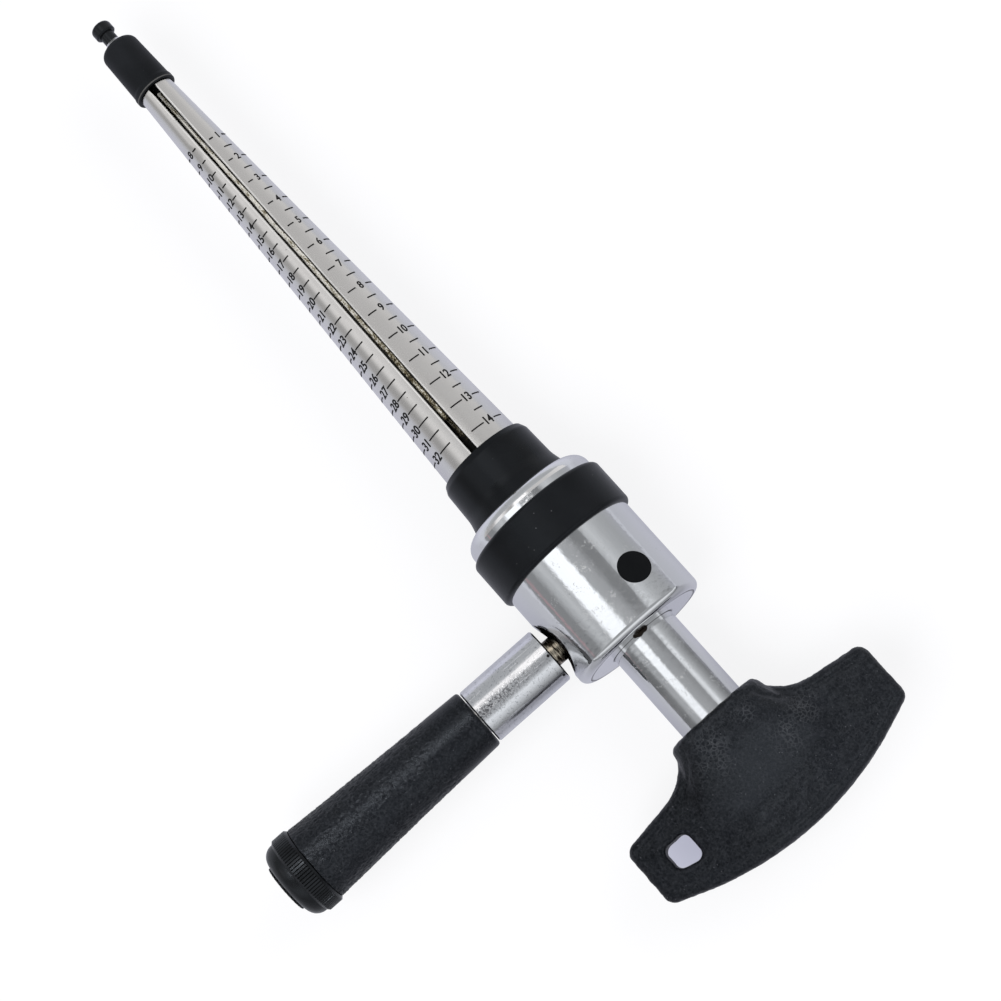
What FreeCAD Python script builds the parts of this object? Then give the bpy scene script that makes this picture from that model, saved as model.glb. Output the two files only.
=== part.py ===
import FreeCAD, Part
import math
import os
from types import SimpleNamespace

import Sketcher

# Ring stretcher: a slotted, tapered mandrel that a wedge bar spreads from inside. A T-handle screws
# the bar forward and a side lever, pivoted off centre in the barrel, gives the power stroke.
# X is the tool's axis and points at the tip, Y points along the lever, Z is up.
# The origin lies on the axis, in the plane where the mandrel leaves its collar.

# Driving sizes in millimetres: alias, value, what it is.
DRIVING = [
    ("mandrel_length", 138.4, "bare mandrel, from the collar to the tip sleeve"),
    ("mandrel_base_dia", 23.58, "mandrel at the collar"),
    ("mandrel_tip_dia", 10.54, "mandrel at the tip sleeve"),
    ("slot_width", 1.85, "gap between two mandrel segments at rest"),
    ("slot_round", 0.45, "rounded outer edges of each slot"),
    ("shell_thickness", 1.55, "segment wall beside the slots"),
    ("land_depth", 2.91, "from the mandrel's surface down to a segment's flat land"),
    ("land_width", 3.6, "flat land inside each segment"),
    ("land_start", 7.9, "back end of the lands"),
    ("land_overrun", 1.4, "how far a land reaches past the bar"),
    ("land_root", 0.5, "how deep a land's root lies in the segment's wall"),
    ("bore_end", 7.4, "front end of the plain bore in the segments' roots"),
    ("root_bore_dia", 14.4, "plain bore in the segments' roots"),
    ("tongue_dia", 8.7, "segment tips, inside the tip sleeve"),
    ("tongue_length", 11.3, "segment tips, inside the tip sleeve"),
    ("foot_thickness", 3.8, "feet of the segments"),
    ("bar_start", 12.1, "thick end of the wedge bar's taper"),
    ("bar_setback", 2.0, "from the tip sleeve's mouth back to the bar's end"),
    ("bar_corner_depth", 1.9, "from the mandrel's surface down to the bar's round corners"),
    ("flat_gap", 0.09, "slack between a bar flat and its land, for the lever's stroke"),
    ("bar_shank_dia", 12.0, "plain shank of the wedge bar"),
    ("pilot_dia", 7.9, "tail of the wedge bar, turning in the screw's nose"),
    ("pilot_length", 9.5, "tail of the wedge bar"),
    ("pilot_groove_place", 6.0, "from the bar's shank to the swivel pin"),
    ("pilot_groove_depth", 1.15, "groove in the tail for the swivel pin"),
    ("pilot_groove_side", 0.1, "slack of the swivel pin along its groove"),
    ("swivel_pin_dia", 2.0, "pin that ties the bar to the screw"),
    ("swivel_pin_length", 9.8, "pin that ties the bar to the screw"),
    ("screw_travel", 12.0, "how far the T-handle screws the bar forward"),
    ("tip_neck_dia", 4.2, "neck of the tip screw"),
    ("tip_thread_dia", 3.0, "thread of the tip screw in the bar"),
    ("tip_thread_length", 9.5, "thread of the tip screw in the bar"),
    ("tip_head_dia", 6.0, "button head of the tip screw"),
    ("tip_head_height", 3.5, "button head of the tip screw"),
    ("tip_head_round", 1.2, "front edge of the button head"),
    ("tip_head_bevel", 0.4, "underside of the button head"),
    ("tip_head_gap", 3.1, "from the bush to the underside of the head"),
    ("tip_socket_width", 2.5, "hexagon socket, across flats"),
    ("tip_socket_depth", 1.6, "hexagon socket"),
    ("sleeve_length", 18.1, "rubber tip sleeve"),
    ("sleeve_dia", 11.96, "tip sleeve behind its lip"),
    ("sleeve_nose_dia", 11.1, "tip sleeve at its shoulder"),
    ("sleeve_round", 2.2, "shoulder of the tip sleeve"),
    ("sleeve_front", 1.9, "front wall of the tip sleeve"),
    ("lip_dia", 12.4, "lip round the sleeve's mouth"),
    ("lip_width", 1.6, "lip round the sleeve's mouth"),
    ("lip_round", 0.4, "edges of the lip"),
    ("bush_flange_dia", 9.0, "bush inside the sleeve"),
    ("bush_end_play", 0.6, "from the segments' tips to the bush"),
    ("bush_dia", 6.3, "bush where it comes out of the sleeve"),
    ("bush_reach", 1.4, "how far the bush stands out of the sleeve"),
    ("bush_rim", 0.2, "rim round the bush's bore at its front end"),
    ("collar_length", 15.65, "black collar in front of the barrel"),
    ("collar_dia", 27.5, "collar at its face"),
    ("collar_waist_dia", 28.2, "collar where the flare begins"),
    ("collar_flare_dia", 30.4, "collar where it meets the barrel"),
    ("collar_flare_length", 4.4, "flared part of the collar"),
    ("collar_flare_round", 10.0, "sweep into the flare"),
    ("collar_bevel", 0.8, "front edge of the collar, in from its side"),
    ("collar_bevel_length", 1.7, "front edge of the collar, along its side"),
    ("collar_bevel_round", 1.6, "where the collar's front edge runs into its side"),
    ("spigot_length", 1.5, "collar's spigot in the barrel's nose"),
    ("barrel_dia", 39.4, "chromed barrel"),
    ("barrel_length", 47.35, "chromed barrel"),
    ("barrel_wall", 3.2, "chromed barrel"),
    ("shoulder_round", 3.6, "barrel's front shoulder"),
    ("barrel_end_round", 2.0, "barrel's back edge"),
    ("nose_wall", 4.84, "barrel round the segments' feet"),
    ("nose_depth", 5.8, "recess for the segments' feet"),
    ("web_thickness", 3.0, "web behind the feet"),
    ("opening_dia", 17.0, "hole that the lever's stud swings in"),
    ("plate_rim", 2.1, "barrel's rim round the end plate"),
    ("plate_thickness", 3.0, "end plate"),
    ("plate_bevel", 0.25, "edges of the end plate"),
    ("notch_dia", 4.6, "grease notch in the end plate's bore"),
    ("notch_depth", 2.0, "grease notch in the end plate's bore"),
    ("band_setback", 5.15, "from the barrel's nose to the rubber band"),
    ("band_width", 13.45, "rubber band"),
    ("band_thickness", 1.35, "rubber band"),
    ("band_round", 1.2, "edges of the rubber band"),
    ("pivot_rise", 9.25, "from the end plate's inner face to the lever's pivot"),
    ("pivot_margin", 7.8, "from the barrel's bore in to the lever's pivot"),
    ("pin_dia", 8.6, "pivot pins"),
    ("pin_dip", 0.2, "how far the pins reach down beside the screw's shank"),
    ("pin_recess", 0.1, "how far the pins' ends lie under the barrel's surface"),
    ("yoke_gap", 1.1, "ring-shaped yoke in the barrel, radial room to rock"),
    ("yoke_bore_gap", 1.4, "ring-shaped yoke round the screw, radial room to rock"),
    ("yoke_width", 12.4, "yoke, along the tool"),
    ("yoke_nose_reach", 11.25, "from the pivot to the tips of the yoke's noses"),
    ("yoke_nose_width", 6.0, "noses of the yoke"),
    ("yoke_nose_round", 2.6, "noses of the yoke"),
    ("yoke_nose_step", 0.4, "from the yoke's outside down to the ends of its noses"),
    ("yoke_boss_dia", 11.0, "boss for the lever's stud"),
    ("nut_setback", 3.0, "from the barrel's web to the thrust nut"),
    ("nut_rise", 9.8, "from the lever's pivot to the back of the thrust nut"),
    ("nut_groove_width", 8.4, "groove that the yoke's noses push in"),
    ("nut_bevel", 0.8, "edges of the thrust nut"),
    ("thread_dia", 17.6, "thread of the drive screw"),
    ("thread_engagement", 6.7, "thread in the nut at rest"),
    ("screw_nose_dia", 12.8, "nose of the drive screw"),
    ("screw_nose_length", 9.0, "nose of the drive screw"),
    ("washer_thickness", 1.0, "thrust washer"),
    ("washer_dia", 12.4, "thrust washer"),
    ("shank_dia", 19.2, "polished shank of the drive screw"),
    ("shank_bare", 26.9, "polished shank between end plate and handle at rest"),
    ("shank_hold", 11.5, "full shank inside the handle"),
    ("tang_dia", 7.0, "tang of the drive screw, deeper in the handle"),
    ("tang_hold", 24.7, "from the neck's face to the end of the tang"),
    ("handle_height", 37.45, "T-handle, along the tool"),
    ("handle_span", 79.6, "T-handle across its wings"),
    ("handle_thickness", 10.0, "wings of the T-handle"),
    ("neck_width", 28.4, "T-handle's neck"),
    ("neck_round", 2.2, "rim of the neck"),
    ("neck_root_width", 35.2, "foot of the neck, between the wings"),
    ("neck_root_drop", 8.3, "from the neck's face to its foot"),
    ("neck_root_round", 15.0, "sweep from neck to wing"),
    ("wing_drop", 11.55, "from the neck's face to the wing tips"),
    ("wing_height", 17.2, "wing tips"),
    ("wing_tip_round", 3.0, "corners of the wing tips"),
    ("palm_drop", 5.8, "from the palm curve's crown to its corner point"),
    ("palm_radius", 90.0, "crowned palm edge"),
    ("handle_edge_round", 3.2, "rims of the wings"),
    ("hub_neck_thickness", 24.6, "hub at the neck's face"),
    ("hub_neck_corner", 9.0, "corners of the hub's section at the neck"),
    ("hub_belly_width", 33.8, "hub where it is fullest"),
    ("hub_belly_thickness", 23.4, "hub where it is fullest"),
    ("hub_belly_corner", 9.6, "corners of the hub's section where it is fullest"),
    ("hub_belly_drop", 8.5, "from the neck's face to the hub's fullest section"),
    ("hub_apron_width", 44.0, "hub where it runs out over the wings"),
    ("hub_apron_thickness", 15.0, "hub where it runs out over the wings"),
    ("hub_apron_corner", 6.8, "corners of the hub's section over the wings"),
    ("hub_apron_drop", 18.5, "from the neck's face to the section over the wings"),
    ("hub_end_width", 34.0, "hub at the palm, under the wings' faces"),
    ("hub_end_thickness", 8.4, "hub at the palm, under the wings' faces"),
    ("hub_end_corner", 3.6, "corners of the hub's section at the palm"),
    ("hub_end_inset", 6.5, "from the palm to the hub's end"),
    ("wing_neck_inset", 1.6, "from the neck's face to the front of the wings' slab"),
    ("wing_neck_side", 0.5, "how far the front of the wings' slab stays inside the neck's sides"),
    ("hang_hole_start", 17.45, "from the neck's face to the hanging hole"),
    ("hang_hole_height", 8.3, "hanging hole"),
    ("hang_hole_inner", 24.8, "inner side of the hanging hole, from the tool's axis"),
    ("hang_hole_width", 7.6, "hanging hole"),
    ("hang_hole_slope", 1.9, "how much shorter the hole is at its outer side"),
    ("hang_hole_round", 2.0, "corners of the hanging hole"),
    ("hang_hole_rim", 1.2, "rounded rims of the hanging hole"),
    ("stud_dia", 7.6, "lever's threaded stud"),
    ("stud_floor", 1.4, "yoke's wall under the stud"),
    ("stud_hold", 9.9, "stud inside the ferrule"),
    ("ferrule_gap", 1.4, "from the barrel to the chromed ferrule"),
    ("ferrule_length", 24.2, "chromed ferrule"),
    ("ferrule_dia", 16.1, "chromed ferrule"),
    ("ferrule_bevel", 0.4, "edges of the ferrule"),
    ("grip_joint", 0.25, "groove between ferrule and grip"),
    ("grip_length", 55.8, "rubber grip"),
    ("grip_near_dia", 17.2, "grip at the ferrule"),
    ("grip_waist_dia", 19.3, "grip halfway along"),
    ("grip_far_dia", 21.8, "grip at the ribbed ring"),
    ("grip_sweep", 150.0, "slight hollow along the grip"),
    ("grip_edge_round", 0.9, "grip's edge at the ferrule"),
    ("rod_dia", 10.0, "steel rod inside the grip"),
    ("rod_end_wall", 2.4, "rubber behind the rod"),
    ("ring_width", 5.2, "ribbed ring"),
    ("ring_dia", 23.0, "ribbed ring over its ribs"),
    ("ring_bore_dia", 18.8, "ribbed ring"),
    ("ring_bevel", 0.7, "edges of the ribbed ring"),
    ("rib_depth", 0.3, "ribs of the ring"),
    ("rib_width", 0.62, "valleys between the ribs"),
    ("cap_dia", 21.6, "domed end cap"),
    ("cap_length", 3.8, "domed end cap"),
    ("cap_round", 3.6, "dome of the end cap"),
    ("disc_dia", 13.4, "small disc on the end cap"),
    ("disc_thickness", 0.7, "small disc on the end cap"),
    ("tooth_depth", 0.5, "teeth round the small disc"),
    ("tooth_width", 1.0, "valleys between the teeth"),
    ("slide_fit", 0.05, "radial clearance of running and sliding fits"),
    ("free_gap", 0.3, "clearance between parts that move past each other"),
]
RIB_COUNT = 84  # ribs round the lever's ring
TOOTH_COUNT = 30  # teeth round the small disc
HANDLE_TURN = -4.7  # degrees that the T-handle stands turned about the tool's axis
MANDREL_TURN = -7.0  # degrees that the slots stand turned about the tool's axis
LEVER_TURN = 0.4  # degrees that the lever rests swung back from square, about its pivot pins
TOUCHING = 1e-4  # millimetres within which an edge counts as lying in a face
LONG_EDGE = 0.9  # share of the mandrel's length that an edge along a slot has at least
SEGMENTS = {"mandrel_segment_a": 45, "mandrel_segment_b": 135, "mandrel_segment_c": 225, "mandrel_segment_d": 315}

doc = FreeCAD.newDocument("RingStretcher")
sheet = doc.addObject("Spreadsheet::Sheet", "Sizes")
for row, (alias, value, meaning) in enumerate(DRIVING, start=1):
    sheet.set(f"A{row}", meaning)
    sheet.set(f"B{row}", str(value))
    sheet.setAlias(f"B{row}", alias)
doc.recompute()


class Size:
    """A length that keeps its number together with the spreadsheet sum it comes from."""

    def __init__(self, number, text):
        self.number = number
        self.text = text

    def __add__(self, other):
        other = sized(other)
        return Size(self.number + other.number, f"({self.text} + {other.text})")

    def __sub__(self, other):
        other = sized(other)
        return Size(self.number - other.number, f"({self.text} - {other.text})")

    def __mul__(self, factor):
        factor = sized(factor)
        return Size(self.number * factor.number, f"({self.text} * {factor.text})")

    def __truediv__(self, divisor):
        divisor = sized(divisor)
        return Size(self.number / divisor.number, f"({self.text} / {divisor.text})")

    def __neg__(self):
        return Size(-self.number, f"(-1 * {self.text})")


def sized(value):
    return value if isinstance(value, Size) else Size(float(value), f"{float(value):.9f}")


d = SimpleNamespace(**{alias: Size(float(getattr(sheet, alias)), f"Sizes.{alias}") for alias, *_ in DRIVING})
ORIGIN = sized(0)


# --- Drawing helpers ---


def bind(item, prop, value):
    """Tie a property to the spreadsheet sum of a size."""
    item.setExpression(prop, sized(value).text)


def new_body(label):
    body = doc.addObject("PartDesign::Body", label)
    body.Label = label
    return body


def new_sketch(body, plane, offset=None):
    """Sketch on one of the body's own origin planes, moved along the plane's normal by offset."""
    sketch = body.newObject("Sketcher::SketchObject", body.Name + "_sketch")
    support = [part for part in body.Origin.OriginFeatures if part.Role == plane][0]
    sketch.AttachmentSupport = [(support, "")]
    sketch.MapMode = "FlatFace"
    if offset is not None:
        bind(sketch, "AttachmentOffset.Base.z", offset)
    return sketch


def hold(sketch, kind, *where, value):
    """Add a dimension to the sketch and tie it to its size."""
    value = sized(value)
    index = sketch.addConstraint(Sketcher.Constraint(kind, *where, value.number))
    bind(sketch, f"Constraints[{index}]", value)


def place_point(sketch, geometry, point, x, y):
    hold(sketch, "DistanceX", -1, 1, geometry, point, value=x)
    hold(sketch, "DistanceY", -1, 1, geometry, point, value=y)


def draw_outline(sketch, corners):
    """Closed outline with corners (x, y) or, where the corner is rounded, (x, y, radius)."""
    points = [FreeCAD.Vector(sized(corner[0]).number, sized(corner[1]).number, 0) for corner in corners]
    count = len(corners)
    arrive = []
    leave = []
    for i, corner in enumerate(corners):
        back = (points[i - 1] - points[i]).normalize()
        ahead = (points[(i + 1) % count] - points[i]).normalize()
        reach = sized(corner[2]).number / math.tan(back.getAngle(ahead) / 2) if len(corner) == 3 else 0
        arrive.append(points[i] + back * reach)
        leave.append(points[i] + ahead * reach)
    sides = [
        sketch.addGeometry(Part.LineSegment(leave[i], arrive[(i + 1) % count])) for i in range(count)
    ]
    for i, corner in enumerate(corners):
        inbound, outbound = sides[i - 1], sides[i]
        if len(corner) == 2:
            sketch.addConstraint(Sketcher.Constraint("Coincident", inbound, 2, outbound, 1))
            place_point(sketch, outbound, 1, corner[0], corner[1])
            continue
        round_corner(sketch, points[i], arrive[i], leave[i], (inbound, outbound), corner)


def round_corner(sketch, point, arrive, leave, sides, corner):
    """Arc that is tangent to both sides, whose corner point stays at its dimensions."""
    inbound, outbound = sides
    radius = sized(corner[2])
    turn = (arrive - point).cross(leave - point).z
    middle = (arrive + leave) * 0.5
    half_chord = (arrive - leave).Length / 2
    inward = (middle - point).normalize()
    centre = middle + inward * math.sqrt(max(radius.number**2 - half_chord**2, 0.0))
    start, end = (leave, arrive) if turn > 0 else (arrive, leave)
    first = math.atan2(start.y - centre.y, start.x - centre.x)
    last = math.atan2(end.y - centre.y, end.x - centre.x)
    if last < first:
        last += 2 * math.pi
    circle = Part.Circle(centre, FreeCAD.Vector(0, 0, 1), radius.number)
    arc = sketch.addGeometry(Part.ArcOfCircle(circle, first, last))
    arc_in, arc_out = (2, 1) if turn > 0 else (1, 2)
    sketch.addConstraint(Sketcher.Constraint("Tangent", inbound, 2, arc, arc_in))
    sketch.addConstraint(Sketcher.Constraint("Tangent", arc, arc_out, outbound, 1))
    hold(sketch, "Radius", arc, value=radius)
    tip = sketch.addGeometry(Part.Point(point), True)
    sketch.addConstraint(Sketcher.Constraint("PointOnObject", tip, 1, inbound))
    sketch.addConstraint(Sketcher.Constraint("PointOnObject", tip, 1, outbound))
    place_point(sketch, tip, 1, corner[0], corner[1])


def draw_circle(sketch, x, y, radius):
    centre = FreeCAD.Vector(sized(x).number, sized(y).number, 0)
    circle = sketch.addGeometry(Part.Circle(centre, FreeCAD.Vector(0, 0, 1), sized(radius).number))
    place_point(sketch, circle, 3, x, y)
    hold(sketch, "Radius", circle, value=radius)


def turned(body, corners, axis="H_Axis", kind="Revolution"):
    """Revolve an outline drawn on the XY plane about the sketch's X or Y axis."""
    sketch = new_sketch(body, "XY_Plane")
    draw_outline(sketch, corners)
    feature = body.newObject("PartDesign::" + kind, body.Name + "_" + kind.lower())
    feature.Profile = sketch
    feature.ReferenceAxis = (sketch, [axis])
    feature.Angle = 360
    return feature


def extruded(body, sketch, kind, length, both_ways=False, backwards=False):
    """Pad or Pocket of a sketch, to one side of it or to both."""
    feature = body.newObject("PartDesign::" + kind, body.Name + "_" + kind.lower())
    feature.Profile = sketch
    bind(feature, "Length", length)
    feature.Midplane = both_ways
    feature.Reversed = backwards
    return feature


def drilled(body, plane, x, y, radius, length, both_ways=False):
    """Round hole from one of the body's origin planes, against that plane's normal or both ways."""
    sketch = new_sketch(body, plane)
    draw_circle(sketch, x, y, radius)
    return extruded(body, sketch, "Pocket", length, both_ways)


# --- Places along the tool that several pieces share ---

slope = (d.mandrel_base_dia - d.mandrel_tip_dia) / d.mandrel_length / 2
spread = slope * d.screw_travel
shoulder_x = -d.collar_length
foot_front = shoulder_x - d.spigot_length - d.free_gap
foot_back = foot_front - d.foot_thickness
nose_radius = d.barrel_dia / 2 - d.nose_wall
foot_radius = nose_radius - spread - d.free_gap
web_front = shoulder_x - d.nose_depth
web_back = web_front - d.web_thickness
barrel_back = shoulder_x - d.barrel_length
plate_front = barrel_back + d.plate_thickness
plate_radius = d.barrel_dia / 2 - d.plate_rim
barrel_bore = d.barrel_dia / 2 - d.barrel_wall
pivot_x = plate_front + d.pivot_rise
pivot_y = d.pivot_margin - barrel_bore
yoke_radius = barrel_bore - d.yoke_gap
yoke_bore = d.shank_dia / 2 + d.yoke_bore_gap
pin_inner = d.shank_dia / 2 - d.pin_dip
nut_front = web_back - d.nut_setback
nut_back = pivot_x + d.nut_rise
thread_back = nut_back - d.screw_travel - d.free_gap
thread_front = nut_back + d.thread_engagement
screw_front = thread_front + d.screw_nose_length
washer_back = screw_front + d.slide_fit
bar_back = washer_back + d.washer_thickness
pilot_back = bar_back - d.pilot_length
groove_middle = bar_back - d.pilot_groove_place
swivel_height = d.pilot_dia / 2 - d.pilot_groove_depth + d.slide_fit + d.swivel_pin_dia / 2
handle_front = barrel_back - d.shank_bare
handle_back = handle_front - d.handle_height
bar_end = d.mandrel_length - d.bar_setback
tongue_start = d.mandrel_length - d.free_gap
tongue_end = tongue_start + d.tongue_length
bush_back = tongue_end + d.bush_end_play
sleeve_end = d.mandrel_length + d.sleeve_length
bush_end = sleeve_end + d.bush_reach
head_back = bush_end + d.tip_head_gap
stud_start = yoke_bore + d.stud_floor
ferrule_start = d.barrel_dia / 2 + d.ferrule_gap
stud_end = ferrule_start + d.stud_hold
grip_start = ferrule_start + d.ferrule_length + d.grip_joint
ring_start = grip_start + d.grip_length
cap_start = ring_start + d.ring_width
cap_end = cap_start + d.cap_length
long_cut = d.mandrel_length * 4
right_turn = FreeCAD.Rotation(FreeCAD.Vector(0, 1, 0), 90)


def cone_radius(x, depth):
    """Distance from the axis to a surface that lies depth under the mandrel's taper."""
    return d.mandrel_base_dia / 2 - slope * x - depth


# --- Barrel and what is fixed to it ---


def barrel():
    body = new_body("barrel")
    turned(
        body,
        [
            (shoulder_x, nose_radius),
            (shoulder_x, d.barrel_dia / 2, d.shoulder_round),
            (barrel_back, d.barrel_dia / 2, d.barrel_end_round),
            (barrel_back, plate_radius),
            (plate_front, plate_radius),
            (plate_front, barrel_bore),
            (web_back, barrel_bore),
            (web_back, d.thread_dia / 2 + d.free_gap),
            (web_front, d.thread_dia / 2 + d.free_gap),
            (web_front, nose_radius),
        ],
    )
    drilled(body, "XY_Plane", pivot_x, pivot_y, d.pin_dia / 2, d.barrel_dia * 2, both_ways=True)
    drilled(body, "XZ_Plane", pivot_x, ORIGIN, d.opening_dia / 2, d.barrel_dia)
    return body


def end_plate():
    body = new_body("end_plate")
    bore = d.shank_dia / 2 + d.slide_fit
    turned(
        body,
        [
            (plate_front, bore),
            (barrel_back + d.plate_bevel, bore),
            (barrel_back, bore + d.plate_bevel),
            (barrel_back, plate_radius - d.plate_bevel),
            (barrel_back + d.plate_bevel, plate_radius),
            (plate_front, plate_radius),
        ],
    )
    drilled(body, "YZ_Plane", ORIGIN, bore + d.notch_depth - d.notch_dia / 2, d.notch_dia / 2, long_cut, True)
    return body


def nose_collar():
    body = new_body("nose_collar")
    bore = d.mandrel_base_dia / 2 + spread + d.free_gap
    turned(
        body,
        [
            (ORIGIN, bore),
            (ORIGIN, d.collar_dia / 2 - d.collar_bevel),
            (-d.collar_bevel_length, d.collar_dia / 2, d.collar_bevel_round),
            (shoulder_x + d.collar_flare_length, d.collar_waist_dia / 2, d.collar_flare_round),
            (shoulder_x, d.collar_flare_dia / 2),
            (shoulder_x, nose_radius),
            (shoulder_x - d.spigot_length, nose_radius),
            (shoulder_x - d.spigot_length, bore),
        ],
    )
    return body


def grip_band():
    body = new_body("grip_band")
    front = shoulder_x - d.band_setback
    back = front - d.band_width
    outside = d.barrel_dia / 2 + d.band_thickness
    turned(
        body,
        [
            (front, d.barrel_dia / 2),
            (front, outside, d.band_round),
            (back, outside, d.band_round),
            (back, d.barrel_dia / 2),
        ],
    )
    return body


def pivot_pins():
    """Two short pins, one from above and one from below, ground flush with the barrel."""
    column = doc.addObject("Part::Cylinder", "pin_column")
    bind(column, "Radius", d.pin_dia / 2)
    bind(column, "Height", d.barrel_dia)
    bind(column, "Placement.Base.x", pivot_x)
    bind(column, "Placement.Base.y", pivot_y)
    bind(column, "Placement.Base.z", -d.barrel_dia / 2)
    skin = doc.addObject("Part::Cylinder", "pin_skin")
    bind(skin, "Radius", d.barrel_dia / 2 - d.pin_recess)
    bind(skin, "Height", d.barrel_length)
    skin.Placement.Rotation = right_turn
    bind(skin, "Placement.Base.x", barrel_back)
    flush = doc.addObject("Part::Common", "pin_flush")
    flush.Base = column
    flush.Tool = skin
    middle = doc.addObject("Part::Box", "pin_middle")
    bind(middle, "Length", d.pin_dia * 2)
    bind(middle, "Width", d.pin_dia * 2)
    bind(middle, "Height", pin_inner * 2)
    bind(middle, "Placement.Base.x", pivot_x - d.pin_dia)
    bind(middle, "Placement.Base.y", pivot_y - d.pin_dia)
    bind(middle, "Placement.Base.z", -pin_inner)
    pins = doc.addObject("Part::Cut", "pivot_pins")
    pins.Base = flush
    pins.Tool = middle
    pins.Label = "pivot_pins"
    return pins


# --- Tip ---


def tip_sleeve():
    body = new_body("tip_sleeve")
    bore = d.tongue_dia / 2 + spread + d.free_gap
    lip_front = d.mandrel_length + d.lip_width
    flange_front = sleeve_end - d.sleeve_front
    turned(
        body,
        [
            (d.mandrel_length, bore),
            (d.mandrel_length, d.lip_dia / 2, d.lip_round),
            (lip_front, d.lip_dia / 2, d.lip_round),
            (lip_front + d.lip_width / 2, d.sleeve_dia / 2),
            (sleeve_end, d.sleeve_nose_dia / 2, d.sleeve_round),
            (sleeve_end, d.bush_dia / 2),
            (flange_front, d.bush_dia / 2),
            (flange_front, d.bush_flange_dia / 2),
            (bush_back, d.bush_flange_dia / 2),
            (bush_back, bore),
        ],
    )
    return body


def tip_bush():
    body = new_body("tip_bush")
    bore = d.tip_neck_dia / 2 + d.slide_fit
    flange_front = sleeve_end - d.sleeve_front
    turned(
        body,
        [
            (bush_back, bore),
            (bush_back, d.bush_flange_dia / 2),
            (flange_front, d.bush_flange_dia / 2),
            (flange_front, d.bush_dia / 2),
            (sleeve_end, d.bush_dia / 2),
            (bush_end, bore + d.bush_rim),
            (bush_end, bore),
        ],
    )
    return body


def tip_screw():
    body = new_body("tip_screw")
    head_front = head_back + d.tip_head_height
    thread_start = bar_end - d.tip_thread_length
    turned(
        body,
        [
            (thread_start, ORIGIN),
            (thread_start, d.tip_thread_dia / 2),
            (bar_end, d.tip_thread_dia / 2),
            (bar_end, d.tip_neck_dia / 2),
            (head_back, d.tip_neck_dia / 2),
            (head_back, d.tip_head_dia / 2 - d.tip_head_bevel),
            (head_back + d.tip_head_bevel, d.tip_head_dia / 2),
            (head_front, d.tip_head_dia / 2, d.tip_head_round),
            (head_front, ORIGIN),
        ],
    )
    socket = new_sketch(body, "YZ_Plane", offset=head_front)
    corner = d.tip_socket_width / math.sqrt(3)
    draw_outline(
        socket,
        [(corner * math.cos(math.radians(60 * i)), corner * math.sin(math.radians(60 * i))) for i in range(6)],
    )
    extruded(body, socket, "Pocket", d.tip_socket_depth)
    return body


# --- Mandrel ---


def slot_edges(shape):
    """The two long outer edges where a segment's slot faces meet its tapered surface."""
    names = []
    for number, edge in enumerate(shape.Edges, start=1):
        middle = edge.valueAt((edge.FirstParameter + edge.LastParameter) / 2)
        depth = cone_radius(middle.x, 0).number - math.hypot(middle.y, middle.z)
        if edge.Length > tongue_start.number * LONG_EDGE and abs(depth) < d.shell_thickness.number / 2:
            names.append(f"Edge{number}")
    return names


def mandrel_segment(label, angle):
    """One quarter of the mandrel, drawn with its middle up and then turned into its place."""
    body = new_body(label)
    base = d.mandrel_base_dia / 2
    turned(
        body,
        [
            (foot_back, d.root_bore_dia / 2),
            (foot_back, foot_radius),
            (foot_front, foot_radius),
            (foot_front, base),
            (ORIGIN, base),
            (tongue_start, cone_radius(tongue_start, 0)),
            (tongue_start, d.tongue_dia / 2),
            (tongue_end, d.tongue_dia / 2),
            (tongue_end, cone_radius(tongue_end, d.shell_thickness)),
            (d.bore_end, cone_radius(d.bore_end, d.shell_thickness)),
            (d.bore_end, d.root_bore_dia / 2),
        ],
    )
    land = new_sketch(body, "XZ_Plane")
    land_end = bar_end + d.land_overrun
    root_depth = d.shell_thickness - d.land_root
    draw_outline(
        land,
        [
            (d.land_start, cone_radius(d.land_start, d.land_depth)),
            (land_end, cone_radius(land_end, d.land_depth)),
            (land_end, cone_radius(land_end, root_depth)),
            (d.land_start, cone_radius(d.land_start, root_depth)),
        ],
    )
    extruded(body, land, "Pad", d.land_width, both_ways=True)
    quarter = new_sketch(body, "YZ_Plane")
    apex = d.slot_width / math.sqrt(2)
    far = d.barrel_dia
    draw_outline(
        quarter,
        [(ORIGIN, apex), (-far, apex + far), (-far, -far), (far, -far), (far, apex + far)],
    )
    cut = extruded(body, quarter, "Pocket", long_cut, both_ways=True)
    doc.recompute()
    soft_edges = body.newObject("PartDesign::Fillet", label + "_edges")
    soft_edges.Base = (cut, slot_edges(cut.Shape))
    bind(soft_edges, "Radius", d.slot_round)
    body.Placement.Rotation = FreeCAD.Rotation(FreeCAD.Vector(1, 0, 0), angle + MANDREL_TURN - 90)
    return body


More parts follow.
